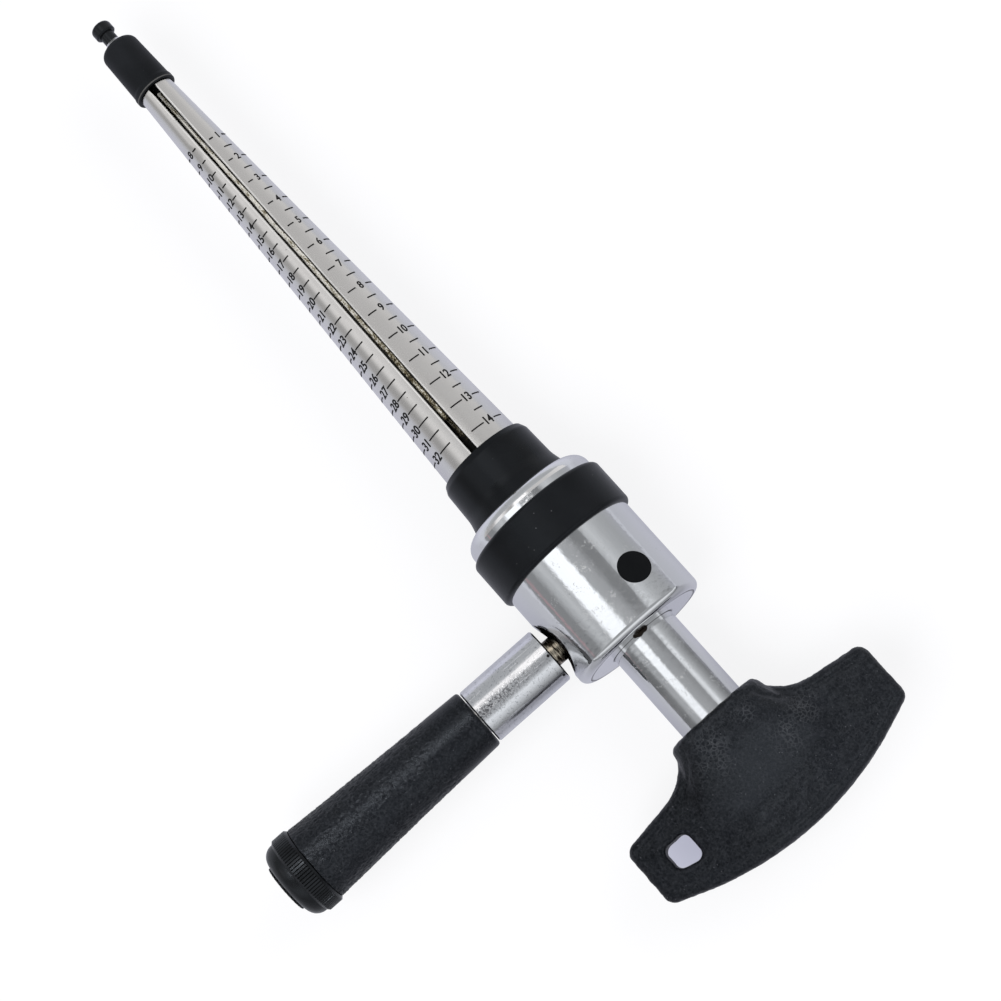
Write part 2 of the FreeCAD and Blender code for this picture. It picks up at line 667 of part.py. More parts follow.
def wedge_bar():
    """Tapered bar with four flats that push the segments' lands apart."""
    body = new_body("wedge_bar")
    groove = d.pilot_dia / 2 - d.pilot_groove_depth
    groove_half = d.swivel_pin_dia / 2 + d.pilot_groove_side
    thread_start = bar_end - d.tip_thread_length
    turned(
        body,
        [
            (pilot_back, ORIGIN),
            (pilot_back, d.pilot_dia / 2),
            (groove_middle - groove_half, d.pilot_dia / 2),
            (groove_middle - groove_half, groove),
            (groove_middle + groove_half, groove),
            (groove_middle + groove_half, d.pilot_dia / 2),
            (bar_back, d.pilot_dia / 2),
            (bar_back, d.bar_shank_dia / 2),
            (d.bar_start, d.bar_shank_dia / 2),
            (d.bar_start, cone_radius(d.bar_start, d.bar_corner_depth)),
            (bar_end, cone_radius(bar_end, d.bar_corner_depth)),
            (bar_end, d.tip_thread_dia / 2),
            (thread_start, d.tip_thread_dia / 2),
            (thread_start, ORIGIN),
        ],
    )
    depth = d.land_depth + d.flat_gap
    flat = new_sketch(body, "XZ_Plane")
    draw_outline(
        flat,
        [
            (d.bar_start, cone_radius(d.bar_start, depth)),
            (bar_end, cone_radius(bar_end, depth)),
            (bar_end, d.mandrel_base_dia),
            (d.bar_start, d.mandrel_base_dia),
        ],
    )
    cut = extruded(body, flat, "Pocket", d.mandrel_base_dia, both_ways=True)
    doc.recompute()
    repeat_round(body, cut, (flat, ["H_Axis"]), len(SEGMENTS))
    first_turn = min(SEGMENTS.values()) + MANDREL_TURN
    body.Placement.Rotation = FreeCAD.Rotation(FreeCAD.Vector(1, 0, 0), first_turn)
    return body


def repeat_round(body, feature, axis, count):
    """Repeat a cut evenly round an axis."""
    pattern = body.newObject("PartDesign::PolarPattern", body.Name + "_pattern")
    pattern.Originals = [feature]
    pattern.Axis = axis
    pattern.Angle = 360
    pattern.Occurrences = count
    body.Tip = pattern


# --- Screw drive ---


def drive_screw():
    body = new_body("drive_screw")
    bore = d.pilot_dia / 2 + d.slide_fit
    bore_bottom = pilot_back - d.free_gap
    turned(
        body,
        [
            (handle_front - d.tang_hold, ORIGIN),
            (handle_front - d.tang_hold, d.tang_dia / 2),
            (handle_front - d.shank_hold, d.tang_dia / 2),
            (handle_front - d.shank_hold, d.shank_dia / 2),
            (thread_back, d.shank_dia / 2),
            (thread_back, d.thread_dia / 2),
            (thread_front, d.thread_dia / 2),
            (thread_front, d.screw_nose_dia / 2),
            (screw_front, d.screw_nose_dia / 2),
            (screw_front, bore),
            (bore_bottom, bore),
            (bore_bottom, ORIGIN),
        ],
    )
    drilled(body, "XZ_Plane", groove_middle, swivel_height, d.swivel_pin_dia / 2, d.screw_nose_dia * 2, True)
    return body


def swivel_pin():
    pin = doc.addObject("Part::Cylinder", "swivel_pin")
    pin.Label = "swivel_pin"
    bind(pin, "Radius", d.swivel_pin_dia / 2)
    bind(pin, "Height", d.swivel_pin_length)
    pin.Placement.Rotation = FreeCAD.Rotation(FreeCAD.Vector(1, 0, 0), -90)
    bind(pin, "Placement.Base.x", groove_middle)
    bind(pin, "Placement.Base.y", -d.swivel_pin_length / 2)
    bind(pin, "Placement.Base.z", swivel_height)
    return pin


def thrust_washer():
    body = new_body("thrust_washer")
    bore = d.pilot_dia / 2 + d.slide_fit
    turned(
        body,
        [
            (washer_back, bore),
            (washer_back, d.washer_dia / 2),
            (bar_back, d.washer_dia / 2),
            (bar_back, bore),
        ],
    )
    return body


def thrust_nut():
    """Nut that slides in the barrel, with a groove across its back for the yoke's noses."""
    body = new_body("thrust_nut")
    bore = d.thread_dia / 2 + d.slide_fit
    outside = barrel_bore - d.slide_fit
    turned(
        body,
        [
            (nut_back, bore),
            (nut_back, outside - d.nut_bevel),
            (nut_back + d.nut_bevel, outside),
            (nut_front - d.nut_bevel, outside),
            (nut_front, outside - d.nut_bevel),
            (nut_front, bore),
        ],
    )
    groove = new_sketch(body, "XY_Plane")
    groove_bottom = pivot_x + d.yoke_nose_reach + d.slide_fit
    half = d.nut_groove_width / 2
    behind = nut_back - d.nut_groove_width
    draw_outline(groove, [(behind, -half), (groove_bottom, -half), (groove_bottom, half), (behind, half)])
    extruded(body, groove, "Pocket", d.barrel_dia * 2, both_ways=True)
    return body


def t_handle():
    """Moulded handle: two wings and a full hub, with a hole to hang it by in one wing."""
    body = new_body("t_handle")
    root_x = handle_front - d.neck_root_drop
    wing_front = handle_front - d.wing_drop
    wing_back = wing_front - d.wing_height
    half_span = d.handle_span / 2
    slab_front = handle_front - d.wing_neck_inset
    half_neck = d.neck_width / 2 - d.wing_neck_side
    wings = new_sketch(body, "XY_Plane")
    draw_outline(
        wings,
        [
            (slab_front, half_neck),
            (root_x, d.neck_root_width / 2, d.neck_root_round),
            (wing_front, half_span, d.wing_tip_round),
            (wing_back, half_span, d.wing_tip_round),
            (handle_back - d.palm_drop, ORIGIN, d.palm_radius),
            (wing_back, -half_span, d.wing_tip_round),
            (wing_front, -half_span, d.wing_tip_round),
            (root_x, -d.neck_root_width / 2, d.neck_root_round),
            (slab_front, -half_neck),
        ],
    )
    slab = extruded(body, wings, "Pad", d.handle_thickness, both_ways=True)
    doc.recompute()
    rims = body.newObject("PartDesign::Fillet", "t_handle_rims")
    rims.Base = (slab, rim_edges(slab.Shape, d.handle_thickness.number / 2))
    bind(rims, "Radius", d.handle_edge_round)
    hub_belly = handle_front - d.hub_belly_drop
    hub_apron = handle_front - d.hub_apron_drop
    hub_end = handle_back + d.hub_end_inset
    sections = [
        hub_section(body, handle_front, d.neck_width, d.hub_neck_thickness, d.hub_neck_corner),
        hub_section(body, hub_belly, d.hub_belly_width, d.hub_belly_thickness, d.hub_belly_corner),
        hub_section(body, hub_apron, d.hub_apron_width, d.hub_apron_thickness, d.hub_apron_corner),
        hub_section(body, hub_end, d.hub_end_width, d.hub_end_thickness, d.hub_end_corner),
    ]
    hub = body.newObject("PartDesign::AdditiveLoft", "t_handle_hub")
    hub.Profile = sections[0]
    hub.Sections = sections[1:]
    doc.recompute()
    neck = body.newObject("PartDesign::Fillet", "t_handle_neck")
    neck.Base = (hub, face_edges_at(hub.Shape, handle_front.number))
    bind(neck, "Radius", d.neck_round)
    drilled(body, "YZ_Plane", ORIGIN, ORIGIN, d.shank_dia / 2, d.shank_hold - handle_front)
    drilled(body, "YZ_Plane", ORIGIN, ORIGIN, d.tang_dia / 2, d.tang_hold - handle_front)
    hole = new_sketch(body, "XY_Plane")
    hole_front = handle_front - d.hang_hole_start
    hole_back = hole_front - d.hang_hole_height
    hole_outer = d.hang_hole_inner + d.hang_hole_width
    draw_outline(
        hole,
        [
            (hole_front, d.hang_hole_inner, d.hang_hole_round),
            (hole_front, hole_outer, d.hang_hole_round),
            (hole_back + d.hang_hole_slope, hole_outer, d.hang_hole_round),
            (hole_back, d.hang_hole_inner, d.hang_hole_round),
        ],
    )
    cut = extruded(body, hole, "Pocket", d.handle_thickness * 2, both_ways=True)
    doc.recompute()
    hole_rims = body.newObject("PartDesign::Fillet", "t_handle_hole_rims")
    rims_at = rim_edges(cut.Shape, d.handle_thickness.number / 2, d.hang_hole_inner.number, hole_outer.number)
    hole_rims.Base = (cut, rims_at)
    bind(hole_rims, "Radius", d.hang_hole_rim)
    body.Placement.Rotation = FreeCAD.Rotation(FreeCAD.Vector(1, 0, 0), HANDLE_TURN)
    return body


def hub_section(body, x, width, thickness, corner):
    """Rounded rectangle across the handle's hub."""
    section = new_sketch(body, "YZ_Plane", offset=x)
    across = width / 2
    up = thickness / 2
    draw_outline(
        section,
        [(-across, -up, corner), (across, -up, corner), (across, up, corner), (-across, up, corner)],
    )
    return section


def face_edges_at(shape, x):
    """Edges that lie in the face across the tool's axis at x."""
    return [
        f"Edge{number}"
        for number, edge in enumerate(shape.Edges, start=1)
        if abs(edge.BoundBox.XMin - x) < TOUCHING and abs(edge.BoundBox.XMax - x) < TOUCHING
    ]


def rim_edges(shape, height, side_from=-math.inf, side_to=math.inf):
    """Edges in the top or the bottom face of a slab, between two distances to the lever's side."""
    names = []
    for number, edge in enumerate(shape.Edges, start=1):
        box = edge.BoundBox
        in_face = box.ZLength < TOUCHING and abs(abs(box.ZMax) - height) < TOUCHING
        if in_face and box.YMin > side_from - TOUCHING and box.YMax < side_to + TOUCHING:
            names.append(f"Edge{number}")
    return names


# --- Side lever ---


def on_lever(body, drawn_x=ORIGIN):
    """Swing a piece, drawn square on the lever's line at drawn_x, into its rest place about the pins."""
    cosine = math.cos(math.radians(LEVER_TURN))
    sine = math.sin(math.radians(LEVER_TURN))
    body.Placement.Rotation = FreeCAD.Rotation(FreeCAD.Vector(0, 0, 1), LEVER_TURN)
    bind(body, "Placement.Base.x", pivot_x - drawn_x * cosine + pivot_y * sine)
    bind(body, "Placement.Base.y", pivot_y - drawn_x * sine - pivot_y * cosine)
    return body


def lever_yoke():
    """Ring that rocks about the pivot pins and pushes the nut with two noses."""
    body = new_body("lever_yoke")
    half_width = d.yoke_width / 2
    ring_middle = (yoke_radius + yoke_bore) / 2
    nose_tip = pivot_x + d.yoke_nose_reach
    turned(
        body,
        [
            (pivot_x - half_width, yoke_bore),
            (pivot_x - half_width, yoke_radius),
            (pivot_x + half_width, yoke_radius),
            (pivot_x + half_width, yoke_bore),
        ],
    )
    boss = new_sketch(body, "XZ_Plane", offset=-ring_middle)
    draw_circle(boss, pivot_x, ORIGIN, d.yoke_boss_dia / 2)
    extruded(body, boss, "Pad", barrel_bore - d.free_gap - ring_middle, backwards=True)
    noses = new_sketch(body, "XY_Plane")
    draw_outline(
        noses,
        [
            (pivot_x, -d.yoke_nose_width / 2),
            (nose_tip, -d.yoke_nose_width / 2, d.yoke_nose_round),
            (nose_tip, d.yoke_nose_width / 2, d.yoke_nose_round),
            (pivot_x, d.yoke_nose_width / 2),
        ],
    )
    extruded(body, noses, "Pad", (yoke_radius - d.yoke_nose_step) * 2, both_ways=True)
    drilled(body, "YZ_Plane", ORIGIN, ORIGIN, yoke_bore, long_cut, both_ways=True)
    pin_hole = d.pin_dia / 2 + d.slide_fit
    drilled(body, "XY_Plane", pivot_x, pivot_y, pin_hole, d.barrel_dia * 2, both_ways=True)
    seat = new_sketch(body, "XZ_Plane", offset=-stud_start)
    draw_circle(seat, pivot_x, ORIGIN, d.stud_dia / 2)
    extruded(body, seat, "Pocket", d.barrel_dia)
    return on_lever(body, drawn_x=pivot_x)


def lever_neck():
    body = new_body("lever_neck")
    turned(
        body,
        [(ORIGIN, stud_start), (d.stud_dia / 2, stud_start), (d.stud_dia / 2, stud_end), (ORIGIN, stud_end)],
        axis="V_Axis",
    )
    return on_lever(body)


def lever_ferrule():
    body = new_body("lever_ferrule")
    start = ferrule_start
    stop = ferrule_start + d.ferrule_length
    outside = d.ferrule_dia / 2
    turned(
        body,
        [
            (d.stud_dia / 2, start),
            (outside - d.ferrule_bevel, start),
            (outside, start + d.ferrule_bevel),
            (outside, stop - d.ferrule_bevel),
            (outside - d.ferrule_bevel, stop),
            (d.rod_dia / 2, stop),
            (d.rod_dia / 2, stud_end),
            (d.stud_dia / 2, stud_end),
        ],
        axis="V_Axis",
    )
    return on_lever(body)


def lever_rod():
    body = new_body("lever_rod")
    stop = ring_start - d.rod_end_wall
    turned(
        body,
        [(ORIGIN, stud_end), (d.rod_dia / 2, stud_end), (d.rod_dia / 2, stop), (ORIGIN, stop)],
        axis="V_Axis",
    )
    return on_lever(body)


def lever_grip():
    body = new_body("lever_grip")
    rod_stop = ring_start - d.rod_end_wall
    turned(
        body,
        [
            (d.rod_dia / 2, grip_start),
            (d.grip_near_dia / 2, grip_start, d.grip_edge_round),
            (d.grip_waist_dia / 2, grip_start + d.grip_length / 2, d.grip_sweep),
            (d.grip_far_dia / 2, ring_start),
            (ORIGIN, ring_start),
            (ORIGIN, rod_stop),
            (d.rod_dia / 2, rod_stop),
        ],
        axis="V_Axis",
    )
    return on_lever(body)


def notched_round(body, radius, start, width, depth, count):
    """Cut V-shaped valleys all round a piece that is turned about Y."""
    valley = new_sketch(body, "XZ_Plane", offset=-start)
    draw_outline(valley, [(radius - depth, ORIGIN), (radius + depth, -width), (radius + depth, width)])
    cut = extruded(body, valley, "Pocket", radius)
    doc.recompute()
    repeat_round(body, cut, (valley, ["N_Axis"]), count)


def cap_ring():
    body = new_body("cap_ring")
    outside = d.ring_dia / 2
    turned(
        body,
        [
            (d.ring_bore_dia / 2, ring_start),
            (outside - d.ring_bevel, ring_start),
            (outside, ring_start + d.ring_bevel),
            (outside, cap_start - d.ring_bevel),
            (outside - d.ring_bevel, cap_start),
            (d.ring_bore_dia / 2, cap_start),
        ],
        axis="V_Axis",
    )
    notched_round(body, outside, ring_start, d.rib_width / 2, d.rib_depth, RIB_COUNT)
    return on_lever(body)


def end_cap():
    """Domed cap with a plug that fills the ribbed ring."""
    body = new_body("end_cap")
    turned(
        body,
        [
            (ORIGIN, ring_start),
            (d.ring_bore_dia / 2, ring_start),
            (d.ring_bore_dia / 2, cap_start),
            (d.cap_dia / 2, cap_start),
            (d.cap_dia / 2, cap_end, d.cap_round),
            (ORIGIN, cap_end),
        ],
        axis="V_Axis",
    )
    return on_lever(body)


def end_disc():
    body = new_body("end_disc")
    disc_end = cap_end + d.disc_thickness
    turned(
        body,
        [(ORIGIN, cap_end), (d.disc_dia / 2, cap_end), (d.disc_dia / 2, disc_end), (ORIGIN, disc_end)],
        axis="V_Axis",
    )
    notched_round(body, d.disc_dia / 2, cap_end, d.tooth_width / 2, d.tooth_depth, TOOTH_COUNT)
    return on_lever(body)


# --- Build, check and write ---

pieces = [
    barrel(),
    end_plate(),
    nose_collar(),
    grip_band(),
    pivot_pins(),
    tip_sleeve(),
    tip_bush(),
    tip_screw(),
    *[mandrel_segment(label, angle) for label, angle in SEGMENTS.items()],
    wedge_bar(),
    drive_screw(),
    swivel_pin(),
    thrust_washer(),
    thrust_nut(),
    t_handle(),
    lever_yoke(),
    lever_neck(),
    lever_ferrule(),
    lever_rod(),
    lever_grip(),
    cap_ring(),
    end_cap(),
    end_disc(),
]
SOLIDS = {"pivot_pins": 2}  # pieces that come as a pair; every other one is a single solid

doc.recompute()
for item in doc.Objects:
    if "Invalid" in item.State or "Error" in item.State:
        raise RuntimeError(f"{item.Label} did not build: {item.State}")
for piece in pieces:
    shape = piece.Shape
    if shape.isNull() or not shape.isValid():
        raise RuntimeError(f"{piece.Label} is not a valid shape")
    if len(shape.Solids) != SOLIDS.get(piece.Label, 1):
        raise RuntimeError(f"{piece.Label} has {len(shape.Solids)} solids")

os.makedirs("parts", exist_ok=True)
for piece in pieces:
    piece.Shape.exportStep(os.path.join("parts", piece.Label + ".step"))
    print(f"{piece.Label:18s} {piece.Shape.Volume:10.1f} mm3")
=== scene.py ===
import math

import bpy
import numpy as np
from mathutils import Euler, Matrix, Vector, kdtree, noise


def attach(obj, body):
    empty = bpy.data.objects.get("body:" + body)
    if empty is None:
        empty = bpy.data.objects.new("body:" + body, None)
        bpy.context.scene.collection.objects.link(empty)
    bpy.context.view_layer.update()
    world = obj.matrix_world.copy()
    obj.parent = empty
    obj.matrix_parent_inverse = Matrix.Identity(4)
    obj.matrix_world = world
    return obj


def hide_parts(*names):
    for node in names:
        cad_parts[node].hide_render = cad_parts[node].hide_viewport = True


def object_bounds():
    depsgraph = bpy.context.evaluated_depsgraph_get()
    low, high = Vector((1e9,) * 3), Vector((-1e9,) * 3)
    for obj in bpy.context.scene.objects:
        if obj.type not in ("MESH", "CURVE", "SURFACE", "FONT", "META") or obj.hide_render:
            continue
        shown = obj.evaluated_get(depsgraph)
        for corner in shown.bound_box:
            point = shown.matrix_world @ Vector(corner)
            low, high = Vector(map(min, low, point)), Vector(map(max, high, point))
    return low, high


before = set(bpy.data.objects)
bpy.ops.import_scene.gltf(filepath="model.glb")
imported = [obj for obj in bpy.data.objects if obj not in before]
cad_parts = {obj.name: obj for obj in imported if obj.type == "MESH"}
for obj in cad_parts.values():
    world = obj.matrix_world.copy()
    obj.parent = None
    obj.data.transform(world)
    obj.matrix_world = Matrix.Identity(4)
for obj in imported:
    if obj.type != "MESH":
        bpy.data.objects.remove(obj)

cad_low, cad_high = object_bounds()

MM = 0.001

# Places and sizes of the tool that the pieces below are set against, in millimetres and degrees.
# The origin is on the tool's axis at the collar's tip face: +X towards the tip, +Y along the
# lever, +Z up.
MANDREL_LENGTH = 138.4
MANDREL_BASE_RADIUS = 11.79
MANDREL_TIP_RADIUS = 5.27
SLOPE = (MANDREL_BASE_RADIUS - MANDREL_TIP_RADIUS) / MANDREL_LENGTH
SLOT_TURN = -7.0  # how far the mandrel's slots stand turned about the tool's axis
SLEEVE_LIP_X = 138.75  # where a painted highlight runs round the tip sleeve's lip
BARREL_RADIUS = 19.7
LEVER_X = -51.0
FERRULE_START = 21.1  # y of the ferrule's end at the barrel
FERRULE_RADIUS = 8.05
FERRULE_WEAR_X = -51.8
GRIP_GRAIN_START = 55.0
SHANK_RADIUS = 9.6
HANDLE_FRONT = -89.9
HANDLE_TURN = 4.7  # how far the T-handle stands turned about the tool's axis
HUB = (-107.0, -1.0)  # middle of the handle's hub, x and y
# Patches on the handle's wrinkled flanks where the grain's veins get a painted highlight: x, y and
# half width of each patch.
WRINKLE_SHEEN = [
    (-96.4, 5.8, 6.5), (-100.5, 8.6, 6.5), (-95.4, -5.2, 4.5),
    (-106.2, -10.5, 7.5), (-104.0, -17.5, 7.0),
]


def mandrel_radius(x):
    """Radius of the mandrel's taper at x, in millimetres."""
    return MANDREL_BASE_RADIUS - SLOPE * x


# --- Node helpers ---


class Shader:
    """A node tree under construction."""

    def __init__(self, tree, coordinates):
        self.nodes = tree.nodes
        self.links = tree.links
        self.place = self.nodes.new("ShaderNodeTexCoord").outputs[coordinates]

    def link(self, output, target):
        self.links.new(output, target)

    def axes(self, names):
        """Coordinates along the named axes, such as "XZ"."""
        node = self.nodes.new("ShaderNodeSeparateXYZ")
        self.link(self.place, node.inputs["Vector"])
        return [node.outputs[name] for name in names]

    def stretched(self, scale):
        """Coordinates scaled by (x, y, z)."""
        mapping = self.nodes.new("ShaderNodeMapping")
        mapping.inputs["Scale"].default_value = scale
        self.link(self.place, mapping.inputs["Vector"])
        return mapping.outputs["Vector"]

    def warped(self, scale, reach):
        """Coordinates shaken by a noise, so that cells get curved walls."""
        shake = self.nodes.new("ShaderNodeTexNoise")
        shake.inputs["Scale"].default_value = scale
        self.link(self.place, shake.inputs["Vector"])
        add = self.nodes.new("ShaderNodeVectorMath")
        add.operation = "MULTIPLY_ADD"
        self.link(shake.outputs["Color"], add.inputs[0])
        add.inputs[1].default_value = (reach, reach, reach)
        self.link(self.place, add.inputs[2])
        return add.outputs["Vector"]

    def noise(self, scale, detail=4.0, rough=0.55, warp=0.0, where=None):
        node = self.nodes.new("ShaderNodeTexNoise")
        node.inputs["Scale"].default_value = scale
        node.inputs["Detail"].default_value = detail
        node.inputs["Roughness"].default_value = rough
        node.inputs["Distortion"].default_value = warp
        self.link(where or self.place, node.inputs["Vector"])
        return node.outputs["Fac"]

    def cells(self, scale, feature="F1", where=None):
        node = self.nodes.new("ShaderNodeTexVoronoi")
        node.feature = feature
        node.inputs["Scale"].default_value = scale
        self.link(where or self.place, node.inputs["Vector"])
        return node.outputs["Distance"]

    def specks(self, scale, full=0.05, gone=0.08):
        """Small round specks, 1 inside and 0 around them."""
        return self.ramp(self.cells(scale), [(0.0, 1.0), (full, 1.0), (gone, 0.0)])

    def ramp(self, value, stops, smooth=False):
        """Colour ramp; stops are (position, grey or colour)."""
        node = self.nodes.new("ShaderNodeValToRGB")
        elements = node.color_ramp.elements
        while len(elements) > 1:
            elements.remove(elements[-1])
        for i, (position, colour) in enumerate(stops):
            if not isinstance(colour, tuple):
                colour = (colour, colour, colour)
            element = elements[0] if i == 0 else elements.new(position)
            element.position = position
            element.color = (*colour, 1.0)
        if smooth:
            node.color_ramp.interpolation = "EASE"
        self.link(value, node.inputs["Fac"])
        return node.outputs["Color"]

    def math(self, operation, a, b=None):
        node = self.nodes.new("ShaderNodeMath")
        node.operation = operation
        for value, slot in ((a, 0), (b, 1)):
            if value is None:
                continue
            if isinstance(value, (int, float)):
                node.inputs[slot].default_value = value
            else:
                self.link(value, node.inputs[slot])
        return node.outputs["Value"]

    def away(self, value, place):
        """Distance of a coordinate from a place in millimetres, without its sign."""
        return self.math("ABSOLUTE", self.math("SUBTRACT", value, place * MM))

    def squared(self, value, place=0.0):
        """Square of a coordinate's distance from a place in millimetres."""
        difference = self.math("SUBTRACT", value, place * MM)
        return self.math("MULTIPLY", difference, difference)

    def root(self, a, b):
        """Square root of a sum."""
        return self.math("SQRT", self.math("ADD", a, b))

    def turned(self, a, b, degrees):
        """First of two coordinates after a turn in their plane."""
        turn = math.radians(degrees)
        along = self.math("MULTIPLY", a, math.cos(turn))
        return self.math("ADD", along, self.math("MULTIPLY", b, math.sin(turn)))

    def mix(self, factor, a, b, blend="MIX"):
        node = self.nodes.new("ShaderNodeMix")
        node.data_type = "RGBA"
        node.blend_type = blend
        for value, slot in ((factor, "Factor"), (a, "A"), (b, "B")):
            target = [item for item in node.inputs if item.name == slot and item.enabled][0]
            if isinstance(value, (int, float)):
                target.default_value = value
            elif isinstance(value, tuple):
                target.default_value = (*value, 1.0)
            else:
                self.link(value, target)
        return [item for item in node.outputs if item.enabled][0]


class Surface(Shader):
    """A material under construction."""

    def __init__(self, name):
        self.material = bpy.data.materials.new(name)
        self.material.use_nodes = True
        super().__init__(self.material.node_tree, "Object")
        self.bsdf = self.nodes["Principled BSDF"]

    def colour(self, output):
        self.link(output, self.bsdf.inputs["Base Color"])

    def roughness(self, value, low, high):
        """Roughness over a value; low and high are (position, roughness)."""
        self.link(self.ramp(value, [low, high]), self.bsdf.inputs["Roughness"])

    def set(self, **values):
        for name, value in values.items():
            self.bsdf.inputs[name.replace("_", " ")].default_value = value
        return self

    def bump(self, *layers):
        """Stack of (height, distance in millimetres) layers on the surface."""
        normal = None
        for height, distance in layers:
            node = self.nodes.new("ShaderNodeBump")
            node.inputs["Strength"].default_value = 1.0
            node.inputs["Distance"].default_value = distance * MM
            self.link(height, node.inputs["Height"])
            if normal is not None:
                self.link(normal, node.inputs["Normal"])
            normal = node.outputs["Normal"]
        self.link(normal, self.bsdf.inputs["Normal"])


# --- Materials ---


def tinted(tone, *shares):
    """Colour from a tone and the share of it in red, green and blue."""
    return tuple(tone * share for share in shares)


def chrome(name, rough=(0.05, 0.13), ripple=0.024, dirt_and_shade=None):
    """Bright plating with draw lines along the tool, ripples, dull patches and pin pricks."""
    m = Surface(name)
    tone = 0.80
    lines = m.noise(1.0, detail=3, where=m.stretched((60, 2600, 2600)))
    clouds = m.noise(90, detail=5)
    sparse = m.ramp(m.noise(240, detail=1), [(0.56, 0.0), (0.62, 1.0)])
    dirt = m.math("MULTIPLY", m.specks(900), sparse)
    base = m.mix(clouds, tinted(tone, 0.90, 0.92, 0.95), tinted(tone, 1.05, 1.05, 1.06))
    base = m.mix(lines, base, tinted(tone, 1.02, 1.02, 1.03))
    base = m.mix(dirt, base, (0.12, 0.11, 0.10))
    # Darkened where the given mask says: dirt in the end plate's seams, painted shade in the
    # barrel's lever opening.
    if dirt_and_shade:
        base = m.mix(dirt_and_shade(m), base, (0.012, 0.010, 0.009))
    m.colour(base)
    low, high = rough
    m.roughness(clouds, (0.35, low), (0.68, high))
    waves = m.noise(70, detail=1)
    peel = m.noise(760, detail=0.6)
    grit = m.noise(2100, detail=1)
    nicks = m.ramp(m.noise(1900, detail=3, rough=0.6), [(0.60, 0.0), (0.66, 1.0)])
    nicks = m.math("MULTIPLY", nicks, sparse)
    m.bump(
        (waves, ripple), (peel, ripple * 0.85), (grit, ripple * 0.16),
        (nicks, -0.010), (dirt, -0.02),
    )
    return m.set(Metallic=1.0).material


def ferrule_chrome(name):
    """Brushed plating whose top is worn into a dark pitted line towards the grip."""
    m = Surface(name)
    brush = m.noise(1.0, detail=4, where=m.stretched((3800, 90, 3800)))
    clouds = m.noise(160, detail=5)
    x, y, z = m.axes("XYZ")
    across = m.math("SUBTRACT", x, FERRULE_WEAR_X * MM)
    wander = m.math("MULTIPLY", m.math("SUBTRACT", clouds, 0.5), 1.2 * MM)
    line = m.math("ABSOLUTE", m.math("ADD", across, wander))
    narrow = m.ramp(m.math("MULTIPLY", line, 400), [(0.10, 1.0), (0.90, 0.0)])
    upper = m.math("GREATER_THAN", z, 0.0)
    far = m.math("MULTIPLY", m.math("SUBTRACT", y, FERRULE_START * MM), 40)
    far = m.ramp(far, [(0.10, 0.0), (0.75, 1.0)])
    pits = m.ramp(m.noise(1700, detail=4, rough=0.75), [(0.47, 0.0), (0.53, 1.0)])
    worn = m.math("MULTIPLY", m.math("MULTIPLY", narrow, upper), m.math("MULTIPLY", far, pits))
    base = m.mix(clouds, (0.70, 0.71, 0.74), (0.84, 0.84, 0.85))
    speckle = m.ramp(m.noise(1500, detail=3, rough=0.7), [(0.56, 0.0), (0.66, 0.55)])
    base = m.mix(speckle, base, (0.30, 0.31, 0.33))
    m.colour(m.mix(worn, base, (0.16, 0.16, 0.17)))
    m.roughness(brush, (0.3, 0.12), (0.7, 0.24))
    scratches = m.noise(1.0, detail=2, where=m.stretched((1500, 60, 1500)))
    scratches = m.ramp(scratches, [(0.64, 0.0), (0.68, 1.0)])
    m.bump((brush, 0.002), (m.noise(700, detail=1), 0.016), (scratches, 0.02), (worn, -0.03))
    return m.set(Metallic=1.0).material


def ground_steel(name, slots=False):
    """Ground tool steel: satin, warmer than chrome, with fine lines round the taper."""
    m = Surface(name)
    tone = 0.70
    rings = m.noise(1.0, detail=4, where=m.stretched((9000, 500, 500)))
    clouds = m.noise(60, detail=4)
    sparse = m.ramp(m.noise(150, detail=1), [(0.62, 0.0), (0.68, 1.0)])
    stain = m.math("MULTIPLY", m.specks(500), sparse)
    base = m.mix(clouds, tinted(tone, 0.96, 0.95, 0.935), tinted(tone, 1.03, 1.02, 1.01))
    base = m.mix(stain, base, (0.20, 0.18, 0.15))
    if slots:
        # Painted shade in the slots, and a painted highlight on their softened edges.
        y, z = m.axes("YZ")
        aside = m.math("ABSOLUTE", m.turned(y, z, SLOT_TURN))
        below = m.math("ABSOLUTE", m.turned(z, y, -SLOT_TURN))
        off = m.math("MULTIPLY", m.math("MINIMUM", aside, below), 1 / (2 * MM))
        base = m.mix(m.ramp(off, [(0.60, 1.0), (0.69, 0.0)]), base, (1.0, 1.0, 0.99))
        base = m.mix(m.ramp(off, [(0.467, 1.0), (0.474, 0.0)]), base, (0.02, 0.017, 0.012))
    m.colour(base)
    m.roughness(rings, (0.3, 0.20), (0.7, 0.28))
    m.bump((rings, 0.0006), (stain, -0.01))
    return m.set(Metallic=1.0).material


